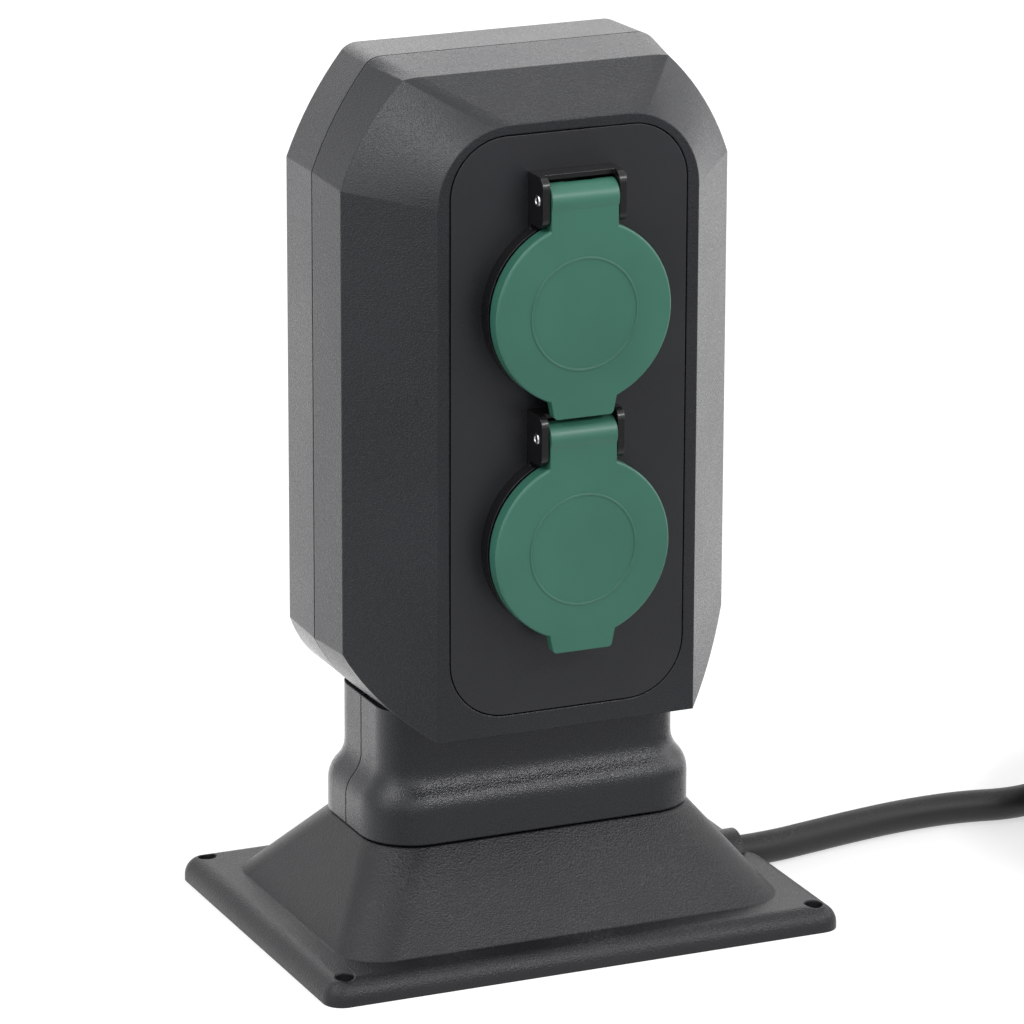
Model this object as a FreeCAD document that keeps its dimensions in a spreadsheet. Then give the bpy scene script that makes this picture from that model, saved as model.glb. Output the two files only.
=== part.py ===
import FreeCAD, Part
import Sketcher
import math
import os

from FreeCAD import Placement, Rotation, Vector

# Garden socket column: a two-way power column on a screw-down base, with spring lids.
# X runs to the right, Y to the back and Z up. The origin is on the ground under the base's centre.
# The front of the column faces -Y, so a depth in the sheet is a distance in front of the shells' joint.

os.makedirs("parts", exist_ok=True)
doc = FreeCAD.newDocument("garden_socket_column")
sheet = doc.addObject("Spreadsheet::Sheet", "sizes")

SIZES = {
    # base
    "base_width": 151.6,
    "base_depth": 112.4,
    "base_corner": 5.4,
    "plate_height": 6.7,
    "plate_round": 5.2,
    "hole_inset_x": 6.3,
    "hole_inset_y": 5.7,
    "hole_bore": 5.2,
    "foot_width": 130.2,
    "foot_depth": 91.6,
    "foot_corner": 13.0,
    "deck_width": 95.6,
    "deck_depth": 49.6,
    "deck_corner": 14.5,
    "deck_height": 29.5,
    "base_wall": 3.0,
    "hole_post": 7.0,
    "spigot_top": 57.0,
    "spigot_clearance": 0.3,
    # cable and its way out of the base
    "cable_diameter": 9.2,
    "cable_clearance": 0.4,
    "hood_wall": 2.0,
    "mouth_depth": 5.8,
    "cable_bend": 40.0,
    "core_diameter": 2.6,
    "core_grip": 5.0,
    "cable_top": 69.0,
    # collar and neck of the column
    "collar_width": 96.4,
    "collar_depth": 50.0,
    "collar_corner": 15.0,
    "collar_bottom": 30.2,
    "collar_edge": 38.3,
    "neck_step": 4.6,
    "neck_bottom": 50.0,
    "shelf_thickness": 3.0,
    # head of the column
    "shell_wall": 2.6,
    "joint_gap": 0.25,
    "side_width": 114.1,
    "side_bottom": 84.4,
    "side_top": 213.8,
    "head_bottom": 63.9,
    "head_top": 243.4,
    "chin_width": 75.0,
    "chin_bulge": 2.13,
    "brow_width": 83.0,
    "brow_drop": 1.8,
    "brow_bulge": 1.28,
    "crown_width": 73.0,
    "crown_bulge": 0.57,
    "front_edge": 17.6,
    "front_draft": 0.9,
    "front_drop": 2.3,
    "front_lean": 3.2,
    "front_brow_drop": 0.5,
    "front_brow_bulge": 2.1,
    "front_crown_bulge": 0.12,
    "front_depth": 39.1,
    "back_edge": 19.3,
    "back_draft": 0.5,
    "back_drop": 0.2,
    "back_lean": 1.0,
    "back_depth": 38.0,
    "face_width": 75.0,
    "face_top": 231.5,
    "face_corner": 21.0,
    "front_wall": 5.0,
    # panel in the front
    "panel_width": 67.8,
    "panel_bottom": 69.7,
    "panel_top": 228.4,
    "panel_corner": 16.0,
    "panel_thickness": 2.4,
    "panel_gap": 0.4,
    # sockets
    "upper_socket_height": 181.2,
    "lower_socket_height": 116.6,
    "flange_diameter": 50.4,
    "flange_depth": 43.4,
    "seat_gap": 0.05,
    "well_diameter": 39.6,
    "well_floor": 26.0,
    "floor_thickness": 3.0,
    "barrel_diameter": 43.6,
    "barrel_back": 12.0,
    "barrel_clearance": 0.6,
    "pin_pitch": 19.0,
    "pin_hole": 5.4,
    "guide_width": 4.8,
    "guide_height": 2.2,
    "cover_thickness": 2.0,
    "ring_diameter": 52.0,
    "ring_height": 5.0,
    # hinge
    "axle_depth": 45.3,
    "axle_rise": 30.8,
    "axle_diameter": 3.2,
    "axle_bore": 1.6,
    "axle_length": 24.6,
    "axle_clearance": 0.05,
    "ear_thickness": 2.0,
    "ear_gap": 0.4,
    "ear_depth": 48.8,
    "ear_top": 37.4,
    "ear_bottom": 23.6,
    "bar_depth": 45.0,
    "bar_thickness": 1.4,
    "bracket_wall": 1.25,
    # lids
    "lid_depth": 49.06,
    "lid_back": 44.7,
    "lid_diameter": 50.4,
    "lid_skin": 2.2,
    "lid_rim": 1.8,
    "lid_round": 0.8,
    "lid_ring": 30.3,
    "lid_ring_width": 0.55,
    "lid_ring_height": 0.25,
    "arm_width": 19.2,
    "arm_thickness": 3.4,
    "knuckle_diameter": 8.8,
    "spring_room": 6.6,
    "spring_slot": 9.0,
    "tab_width": 16.8,
    "tab_drop": 28.1,
    "tab_thickness": 3.0,
    "tab_round": 1.2,
    "seal_width": 2.6,
    "seal_gap": 0.2,
    # springs
    "spring_wire": 0.7,
    "spring_diameter": 5.2,
    "spring_pitch": 1.2,
    "spring_leg": 4.6,
    # contacts
    "sleeve_diameter": 7.0,
    "sleeve_bore": 5.0,
    "sleeve_depth": 22.6,
    "sleeve_back": 13.0,
    "tail_diameter": 2.4,
    "bar_width": 6.0,
    "bar_metal": 1.0,
    "bar_front": 8.4,
    "clip_width": 8.0,
    "clip_metal": 0.8,
    "clip_reach": 38.0,
    "clip_spread": 19.2,
    "clip_bulge": 2.4,
    # terminal block, cable clamp and screws
    "block_width": 34.0,
    "block_bottom": 82.0,
    "block_height": 11.0,
    "block_front": 15.0,
    "block_back": 3.0,
    "block_screws": 26.0,
    "post_diameter": 8.0,
    "post_spread": 91.0,
    "post_low": 95.0,
    "post_step": 54.0,
    "clamp_height": 64.0,
    "clamp_width": 34.0,
    "clamp_thickness": 3.0,
    "clamp_spread": 11.0,
    "screw_shank": 3.4,
    "screw_head": 6.4,
    "screw_head_height": 2.2,
    "screw_clearance": 0.05,
    "screw_seat": 20.0,
    "screw_grip": 14.0,
    "screw_access": 7.2,
    "neck_screws": 50.0,
    "neck_screw_height": 53.5,
    # plug
    "plug_face": 38.0,
    "plug_face_length": 8.0,
    "plug_waist": 29.0,
    "plug_length": 45.0,
    "plug_rear": 17.0,
    "plug_pin": 4.8,
    "plug_pin_length": 19.0,
    "relief_length": 22.0,
    "relief_diameter": 14.0,
    # cord outside the object
    "coil_turns": 3.864,
    "coil_middle": 92.0,
    "coil_pitch": 10.0,
    "tie_width": 4.8,
    "tie_thickness": 1.2,
}

for row, (name, value) in enumerate(SIZES.items(), start=1):
    sheet.set(f"A{row}", name)
    sheet.set(f"B{row}", str(value))
    sheet.setAlias(f"B{row}", name)
doc.recompute()


class Size:
    """A number that also carries the sheet formula it comes from."""

    def __init__(self, value, text):
        self.value = value
        self.text = text

    def __add__(self, other):
        return combine(self, "+", other, self.value + plain(other))

    def __radd__(self, other):
        return combine(other, "+", self, plain(other) + self.value)

    def __sub__(self, other):
        return combine(self, "-", other, self.value - plain(other))

    def __rsub__(self, other):
        return combine(other, "-", self, plain(other) - self.value)

    def __mul__(self, other):
        return combine(self, "*", other, self.value * plain(other))

    def __rmul__(self, other):
        return combine(other, "*", self, plain(other) * self.value)

    def __truediv__(self, other):
        return combine(self, "/", other, self.value / plain(other))

    def __neg__(self):
        return combine(0, "-", self, -self.value)


def plain(number):
    return number.value if isinstance(number, Size) else float(number)


def formula(number):
    return number.text if isinstance(number, Size) else repr(float(number))


def combine(first, sign, second, value):
    return Size(value, f"({formula(first)} {sign} {formula(second)})")


def root(number):
    return Size(math.sqrt(number.value), f"sqrt({number.text})")


class Sizes:
    """The sheet's cells by name."""

    def __getattr__(self, name):
        return Size(float(sheet.get(name)), f"sizes.{name}")


s = Sizes()

PLANES = {
    "ground": ("XY_Plane", Rotation()),
    "front": ("XZ_Plane", Rotation(Vector(1, 0, 0), 90)),
    "side": ("YZ_Plane", Rotation(Vector(1, 1, 1), 120)),
}


def bind(thing, prop, number):
    thing.setExpression(prop, formula(number))


def place(thing, x=0, y=0, z=0, turn=None):
    """Puts an object at a place that follows the sheet."""
    thing.Placement = Placement(Vector(plain(x), plain(y), plain(z)), turn or Rotation())
    for axis, number in zip("xyz", (x, y, z)):
        if isinstance(number, Size):
            bind(thing, f"Placement.Base.{axis}", number)
    return thing


def new_sketch(name, plane, offset, body):
    """An empty sketch on a plane of a body, or standing free, moved along the plane's normal."""
    role, turn = PLANES[plane]
    if body is None:
        sketch = doc.addObject("Sketcher::SketchObject", name)
        normal = turn.multVec(Vector(0, 0, 1))
        place(sketch, *(offset * part if part else 0 for part in normal_parts(normal)), turn=turn)
        return sketch
    sketch = body.newObject("Sketcher::SketchObject", name)
    origin = [item for item in body.Origin.OriginFeatures if item.Role == role][0]
    sketch.AttachmentSupport = [(origin, "")]
    sketch.MapMode = "FlatFace"
    sketch.AttachmentOffset = Placement(Vector(0, 0, plain(offset)), Rotation())
    if isinstance(offset, Size):
        bind(sketch, "AttachmentOffset.Base.z", offset)
    return sketch


def normal_parts(normal):
    return [round(part) for part in (normal.x, normal.y, normal.z)]


def bound(sketch, number, *rule):
    """Adds a measured constraint to a sketch and ties it to the sheet."""
    index = sketch.addConstraint(Sketcher.Constraint(*rule, plain(number)))
    if isinstance(number, Size):
        sketch.setExpression(f"Constraints[{index}]", formula(number))


def arc_through(start, middle, end):
    """A sketch arc and which of its ends lies at the start."""
    found = Part.Arc(start, middle, end).toShape().Curve
    centre = found.Center
    onward = (middle - start).cross(end - middle).z > 0
    first, last = (start, end) if onward else (end, start)
    low = math.atan2(first.y - centre.y, first.x - centre.x)
    high = math.atan2(last.y - centre.y, last.x - centre.x)
    if high <= low:
        high += 2 * math.pi
    circle = Part.Circle(centre, Vector(0, 0, 1), found.Radius)
    return Part.ArcOfCircle(circle, low, high), (1 if onward else 2)


def bowed(start, end, radius):
    """The short arc from start to end; a positive radius bulges to the right of the way."""
    chord = end - start
    lift = abs(radius) - math.sqrt(radius * radius - chord.Length ** 2 / 4)
    right = Vector(chord.y, -chord.x, 0).normalize()
    return arc_through(start, (start + end) * 0.5 + right * math.copysign(lift, radius), end)


def rounded(entry, corner, leave, radius):
    """The rounding of a corner between its two tangent points."""
    out = (corner - (entry + leave) * 0.5).normalize()
    centre = corner - out * math.hypot(radius, (corner - entry).Length)
    return arc_through(entry, centre + out * radius, leave)


def outline(name, plane, offset, corners, body=None):
    """A closed sketch through corners (x, y, rounding, bow), each size tied to the sheet.

    A rounding replaces the corner by a tangent arc. A bow is the radius of the edge that leads
    from the corner to the next one, positive where it bulges to the right of the way.
    """
    sketch = new_sketch(name, plane, offset, body)
    corners = [tuple(corner) + (0,) * (4 - len(corner)) for corner in corners]
    count = len(corners)
    points = [Vector(plain(x), plain(y), 0) for x, y, _, _ in corners]
    spans = []
    for i in range(count):
        before = (points[i - 1] - points[i]).normalize()
        after = (points[(i + 1) % count] - points[i]).normalize()
        reach = plain(corners[i][2]) / math.tan(before.getAngle(after) / 2)
        spans.append((points[i] + before * reach, points[i] + after * reach))
    edges = []
    for i in range(count):
        start, end = spans[i][1], spans[(i + 1) % count][0]
        bow = corners[i][3]
        shape, first = bowed(start, end, plain(bow)) if plain(bow) else (Part.LineSegment(start, end), 1)
        edges.append((sketch.addGeometry(shape, False), first))
        if plain(bow):
            bound(sketch, bow if plain(bow) > 0 else -bow, "Radius", edges[i][0])
    for i in range(count):
        x, y, rounding, _ = corners[i]
        edge, edge_start = edges[i]
        before, before_end = edges[i - 1][0], 3 - edges[i - 1][1]
        if not plain(rounding):
            sketch.addConstraint(Sketcher.Constraint("Coincident", before, before_end, edge, edge_start))
            bound(sketch, x, "DistanceX", -1, 1, edge, edge_start)
            bound(sketch, y, "DistanceY", -1, 1, edge, edge_start)
            continue
        mark = sketch.addGeometry(Part.Point(points[i]), True)
        bound(sketch, x, "DistanceX", -1, 1, mark, 1)
        bound(sketch, y, "DistanceY", -1, 1, mark, 1)
        sketch.addConstraint(Sketcher.Constraint("PointOnObject", mark, 1, before))
        sketch.addConstraint(Sketcher.Constraint("PointOnObject", mark, 1, edge))
        shape, arc_start = rounded(spans[i][0], points[i], spans[i][1], plain(rounding))
        arc = sketch.addGeometry(shape, False)
        sketch.addConstraint(Sketcher.Constraint("Tangent", before, before_end, arc, arc_start))
        sketch.addConstraint(Sketcher.Constraint("Tangent", arc, 3 - arc_start, edge, edge_start))
        bound(sketch, rounding, "Radius", arc)
    return sketch


def rectangle(name, plane, offset, width, height, rounding=0, body=None, x=0, y=0):
    """A sketch of a rectangle about a middle point."""
    right, top = width / 2, height / 2
    corners = [(x - right, y - top, rounding), (x + right, y - top, rounding),
               (x + right, y + top, rounding), (x - right, y + top, rounding)]
    return outline(name, plane, offset, corners, body)


def circles(name, plane, offset, discs, body=None):
    """A sketch of circles (x, y, diameter)."""
    sketch = new_sketch(name, plane, offset, body)
    for x, y, diameter in discs:
        middle = Vector(plain(x), plain(y), 0)
        index = sketch.addGeometry(Part.Circle(middle, Vector(0, 0, 1), plain(diameter) / 2), False)
        bound(sketch, diameter / 2, "Radius", index)
        bound(sketch, x, "DistanceX", -1, 1, index, 3)
        bound(sketch, y, "DistanceY", -1, 1, index, 3)
    return sketch


def feature(kind, name, **settings):
    """A document object with plain properties set and sizes tied to the sheet."""
    thing = doc.addObject(kind, name)
    for prop, value in settings.items():
        if isinstance(value, (Size, float, int)) and not isinstance(value, bool):
            bind(thing, prop, value) if isinstance(value, Size) else setattr(thing, prop, value)
        else:
            setattr(thing, prop, value)
    return thing


def fuse(name, *parts):
    return feature("Part::MultiFuse", name, Shapes=list(parts))


def common(name, *parts):
    return feature("Part::MultiCommon", name, Shapes=list(parts))


def cut(name, base, *tools):
    tool = tools[0] if len(tools) == 1 else fuse(f"{name}_tools", *tools)
    return feature("Part::Cut", name, Base=base, Tool=tool)


def extrude(name, sketch, length, back=0):
    """A free sketch drawn out along its normal, and by back the other way."""
    return feature("Part::Extrusion", name, Base=sketch, DirMode="Normal", Solid=True,
                   LengthFwd=length, LengthRev=back)


def loft(name, *sections):
    return feature("Part::Loft", name, Sections=list(sections), Solid=True, Ruled=True)


def rod(name, diameter, length, x=0, y=0, z=0, turn=None):
    """A round bar from a place, along +Z or along the way it is turned to."""
    return place(feature("Part::Cylinder", name, Radius=diameter / 2, Height=length), x, y, z, turn)


def block(name, low, high):
    """A box between two corners."""
    length, width, height = (b - a for a, b in zip(low, high))
    return place(feature("Part::Box", name, Length=length, Width=width, Height=height), *low)


TO_FRONT = Rotation(Vector(1, 0, 0), 90)
TO_BACK = Rotation(Vector(1, 0, 0), -90)
TO_RIGHT = Rotation(Vector(0, 1, 0), 90)


# Head of the column

FACE_SPLIT = 75.0


def bulged(start, end, bulge):
    """The radius of an arc between two corners that stands out from their chord by a bulge."""
    across, up = end[0] - start[0], end[1] - start[1]
    return (across * across + up * up) / (8 * bulge) + bulge / 2


def head_outline(name, depth, inset, draft, drop, lean, brow_shape):
    """The head's outline across the column, seen from the front, drawn in by a wall.

    brow_shape is how far the brow lies under the top, and the bulges beside and over it.
    """
    brow_drop, brow_bulge, crown_bulge = brow_shape
    side = s.side_width / 2 - draft - inset
    low = s.side_bottom + 0.6 * draft + 0.26 * inset
    high = s.side_top - 0.55 * drop - 0.16 * inset
    chin = s.chin_width / 2 - 0.32 * inset
    floor = s.head_bottom + inset
    brow = s.brow_width / 2 - lean - 0.5 * inset
    top = s.head_top - drop - inset
    brow_top = top - brow_drop
    crown = s.crown_width / 2 - lean - 0.5 * inset
    chin_bow = bulged((chin, floor), (side, low), s.chin_bulge)
    brow_bow = bulged((side, high), (brow, brow_top), brow_bulge)
    crown_bow = bulged((brow, brow_top), (crown, top), crown_bulge)
    corners = [
        (-chin, floor), (chin, floor, 0, chin_bow),
        (side, low), (side, high, 0, brow_bow),
        (brow, brow_top, 0, crown_bow), (crown, top),
        (-crown, top, 0, crown_bow), (-brow, brow_top, 0, brow_bow),
        (-side, high), (-side, low, 0, chin_bow),
    ]
    return outline(name, "front", depth, corners)


def bevel_outline(name, depth, corners):
    """One end of the bevels' wedge: sides run straight down past the head's bottom."""
    (side, high), (brow, brow_top), (crown, top), bow, crown_bow = corners
    low = s.collar_edge
    points = [
        (-side, low), (side, low), (side, high, 0, bow),
        (brow, brow_top, 0, crown_bow), (crown, top),
        (-crown, top, 0, crown_bow), (-brow, brow_top, 0, bow), (-side, high),
    ]
    return outline(name, "front", depth, points)


def head_half(tag, side, edge, depth, draft, drop, lean, brow_shape, inset, wall):
    """One half of the head as a solid: drafted sides, then bevels that lead to a flat face.

    side is 1 for the front and -1 for the back. With an inset and a wall it is the hollow.
    """
    face = depth - wall
    edge_side = s.side_width / 2 - draft
    edge_top = s.head_top - drop
    run = depth - edge
    brow_drop, brow_bulge, crown_bulge = brow_shape
    side_slope = (edge_side - s.face_width / 2) / run
    top_slope = (edge_top - s.face_top) / run
    edge_depth = edge - 0.37 * inset
    turn = math.radians(FACE_SPLIT)
    bow = s.face_corner
    face_side = s.face_width / 2 + side_slope * wall - 1.32 * inset
    face_top = s.face_top + top_slope * wall - 1.1 * inset
    face_end = [
        (face_side, face_top - bow),
        (face_side - bow * (1 - math.cos(turn)), face_top - bow * (1 - math.sin(turn))),
        (face_side - bow, face_top), bow, bow,
    ]
    edge_points = [
        (edge_side - inset, s.side_top - 0.55 * drop - 0.16 * inset),
        (s.brow_width / 2 - lean - 0.5 * inset, edge_top - inset - brow_drop),
        (s.crown_width / 2 - lean - 0.5 * inset, edge_top - inset),
    ]
    edge_end = edge_points + [bulged(*edge_points[:2], brow_bulge), bulged(*edge_points[1:], crown_bulge)]
    joint_shape = (s.brow_drop, s.brow_bulge, s.crown_bulge)
    start = head_outline(f"{tag}_joint_outline", s.joint_gap * side, inset, 0, 0, 0, joint_shape)
    middle = head_outline(f"{tag}_edge_outline", edge_depth * side, inset, draft, drop, lean, brow_shape)
    sides = loft(f"{tag}_sides", start, middle)
    forward = face - edge_depth
    if side > 0:
        nose = extrude(f"{tag}_nose", middle, forward)
    else:
        nose = extrude(f"{tag}_nose", middle, 0, forward)
    wedge = loft(f"{tag}_wedge",
                 bevel_outline(f"{tag}_wedge_root", edge_depth * side, edge_end),
                 bevel_outline(f"{tag}_wedge_end", face * side, face_end))
    return fuse(f"{tag}_form", sides, common(f"{tag}_bevels", nose, wedge))


def neck_wall():
    """The collar and neck as one closed wall that follows a rounded rectangle."""
    right = s.collar_width / 2
    front = s.collar_depth / 2
    path = outline("neck_path", "ground", 0, [
        (-right, 0), (-right, -front, s.collar_corner), (right, -front, s.collar_corner),
        (right, front, s.collar_corner), (-right, front, s.collar_corner)])
    neck = right - s.neck_step
    wall = s.shell_wall
    top = s.head_bottom + wall
    rise = s.neck_bottom - s.collar_edge
    bow = (rise * rise + s.neck_step * s.neck_step) / (4 * s.neck_step)
    half_step = right - s.neck_step / 2
    half_rise = s.collar_edge + rise / 2
    profile = outline("neck_profile", "front", 0, [
        (-right, s.collar_bottom), (-(right - wall), s.collar_bottom),
        (-(right - wall), s.collar_edge), (-(neck - wall), s.neck_bottom),
        (-(neck - wall), top), (-neck, top), (-neck, s.neck_bottom, 0, -bow),
        (-half_step, half_rise, 0, bow), (-right, s.collar_edge)])
    return feature("Part::Sweep", "neck_wall", Sections=[profile], Solid=True, Frenet=False,
                   Spine=(path, [f"Edge{i + 1}" for i in range(len(path.Shape.Edges))]))


NODES = {}


def node(name, thing):
    """Registers a finished sub-part under the name of its file."""
    thing.Label = name
    NODES[name] = thing
    return thing


def column_shells():
    """The two moulded halves: head, neck, collar, inner shelf and screw bosses."""
    wall = s.shell_wall
    brow = (s.brow_drop, s.brow_bulge, s.crown_bulge)
    front_brow = (s.front_brow_drop, s.front_brow_bulge, s.front_crown_bulge)
    front_sizes = (s.front_edge, s.front_depth, s.front_draft, s.front_drop, s.front_lean, front_brow)
    back_sizes = (s.back_edge, s.back_depth, s.back_draft, s.back_drop, s.back_lean, brow)
    front = head_half("front", 1, *front_sizes, 0, 0)
    front_room = head_half("front_room", 1, *front_sizes, wall, s.front_wall)
    back = head_half("back", -1, *back_sizes, 0, 0)
    back_room = head_half("back_room", -1, *back_sizes, wall, wall)
    neck = neck_wall()
    neck_side = s.collar_width / 2 - s.neck_step - wall
    neck_front = s.collar_depth / 2 - s.neck_step - wall
    neck_corner = s.collar_corner - s.neck_step - wall
    throat = extrude("throat", rectangle("throat_outline", "ground", s.neck_bottom, neck_side * 2,
                                         neck_front * 2, neck_corner), s.head_bottom + wall - s.neck_bottom)
    shelf = extrude("shelf_plate", rectangle("shelf_outline", "ground", s.spigot_top, neck_side * 2 + wall,
                                             neck_front * 2 + wall, neck_corner), s.shelf_thickness)
    passage = rod("shelf_passage", s.cable_diameter + 2 * s.cable_clearance, 3 * s.shelf_thickness,
                  z=s.spigot_top - s.shelf_thickness)
    shelf = cut("shelf", shelf, passage)

    heights = [s.post_low + s.post_step * k for k in range(3)]
    spots = [(side * s.post_spread / 2, height) for side in (-1, 1) for height in heights]
    front_posts = [rod(f"front_post_{k}", s.post_diameter, s.front_depth, x, -s.joint_gap, z, TO_FRONT)
                   for k, (x, z) in enumerate(spots)]
    back_posts = [rod(f"back_post_{k}", s.post_diameter + wall, s.back_depth, x, s.joint_gap, z, TO_BACK)
                  for k, (x, z) in enumerate(spots)]
    pilot = s.screw_shank + 2 * s.screw_clearance
    pilots = [rod(f"pilot_{k}", pilot, s.screw_grip + s.screw_seat + 1, x, s.screw_seat, z, TO_FRONT)
              for k, (x, z) in enumerate(spots)]
    accesses = [rod(f"access_{k}", s.screw_access, s.back_depth, x, s.screw_seat, z, TO_BACK)
                for k, (x, z) in enumerate(spots)]

    block_spots = [(side * s.block_screws / 2, s.block_bottom + s.block_height / 2) for side in (-1, 1)]
    block_posts = [rod(f"block_post_{k}", s.post_diameter, s.front_depth - s.block_front, x, -s.block_front,
                       z, TO_FRONT) for k, (x, z) in enumerate(block_spots)]
    clamp_posts = [rod(f"clamp_post_{k}", s.clamp_thickness * 2, s.front_depth, side * s.clamp_spread,
                       -s.joint_gap, s.clamp_height, TO_FRONT) for k, side in enumerate((-1, 1))]
    small_pilots = [rod(f"block_pilot_{k}", pilot, s.screw_grip, x, -(s.block_front - 1), z, TO_FRONT)
                    for k, (x, z) in enumerate(block_spots)]
    small_pilots += [rod(f"clamp_pilot_{k}", pilot, s.screw_grip, side * s.clamp_spread, 1,
                         s.clamp_height, TO_FRONT) for k, side in enumerate((-1, 1))]

    seat_width = s.panel_width + 2 * s.panel_gap
    seat_height = s.panel_top - s.panel_bottom + 2 * s.panel_gap
    seat_middle = (s.panel_top + s.panel_bottom) / 2
    seat = extrude("panel_seat", rectangle("panel_seat_outline", "front", s.front_depth - s.panel_thickness,
                                           seat_width, seat_height, s.panel_corner + s.panel_gap,
                                           y=seat_middle), s.front_depth)
    barrel = s.barrel_diameter + s.barrel_clearance
    holes = [rod(f"barrel_hole_{k}", barrel, s.front_depth, 0, -s.barrel_back, z, TO_FRONT)
             for k, z in enumerate((s.upper_socket_height, s.lower_socket_height))]
    span = s.base_width
    front_half = block("front_half", (-span, -span, 0), (span, -s.joint_gap, s.head_top + span))
    back_half = block("back_half", (-span, s.joint_gap, 0), (span, span, s.head_top + span))

    outside = fuse("front_outside", front, neck)
    posts = common("front_posts", fuse("front_posts_raw", *front_posts, *block_posts), front)
    hull = cut("front_hull", outside, fuse("front_hollow", front_room, throat))
    front_clamp_posts = common("front_clamp_posts", fuse("clamp_posts", *clamp_posts), fuse("front_solid", front, throat))
    whole = fuse("front_whole", hull, shelf, posts, front_clamp_posts)
    opened = cut("front_opened", whole, *pilots, *small_pilots, seat, *holes)
    node("front_shell", common("front_shell", opened, front_half))

    outside = fuse("back_outside", back, neck)
    posts = common("back_posts", fuse("back_posts_raw", *back_posts), back)
    hull = cut("back_hull", outside, fuse("back_hollow", back_room, throat))
    neck_holes = [rod(f"neck_hole_{k}", pilot, s.collar_depth, side * s.neck_screws / 2, 0,
                      s.neck_screw_height, TO_BACK) for k, side in enumerate((-1, 1))]
    whole = fuse("back_whole", hull, shelf, posts)
    opened = cut("back_opened", whole, *pilots, *accesses, *neck_holes)
    node("rear_shell", common("rear_shell", opened, back_half))


def body(name):
    made = doc.addObject("PartDesign::Body", f"{name}_body")
    return node(name, made)


def step(owner, kind, name, sketch, **settings):
    """A feature of a body from a sketch, with its sizes tied to the sheet."""
    made = owner.newObject(f"PartDesign::{kind}", name)
    made.Profile = sketch
    for prop, value in settings.items():
        bind(made, prop, value) if isinstance(value, Size) else setattr(made, prop, value)
    sketch.Visibility = False
    return made


def turned(name, owner, plane, axis, corners, kind="Revolution"):
    """A revolved feature; axis is the sketch's H_Axis or V_Axis."""
    sketch = outline(f"{name}_profile", plane, 0, corners, owner)
    made = owner.newObject(f"PartDesign::{kind}", name)
    made.Profile = sketch
    made.ReferenceAxis = (sketch, [axis])
    made.Angle = 360
    return made


def edges_where(shape, test):
    """Names of a shape's edges whose middle passes a test."""
    found = []
    for number, edge in enumerate(shape.Edges, start=1):
        middle = edge.valueAt((edge.FirstParameter + edge.LastParameter) / 2)
        if test(middle, edge):
            found.append(f"Edge{number}")
    return found


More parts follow.
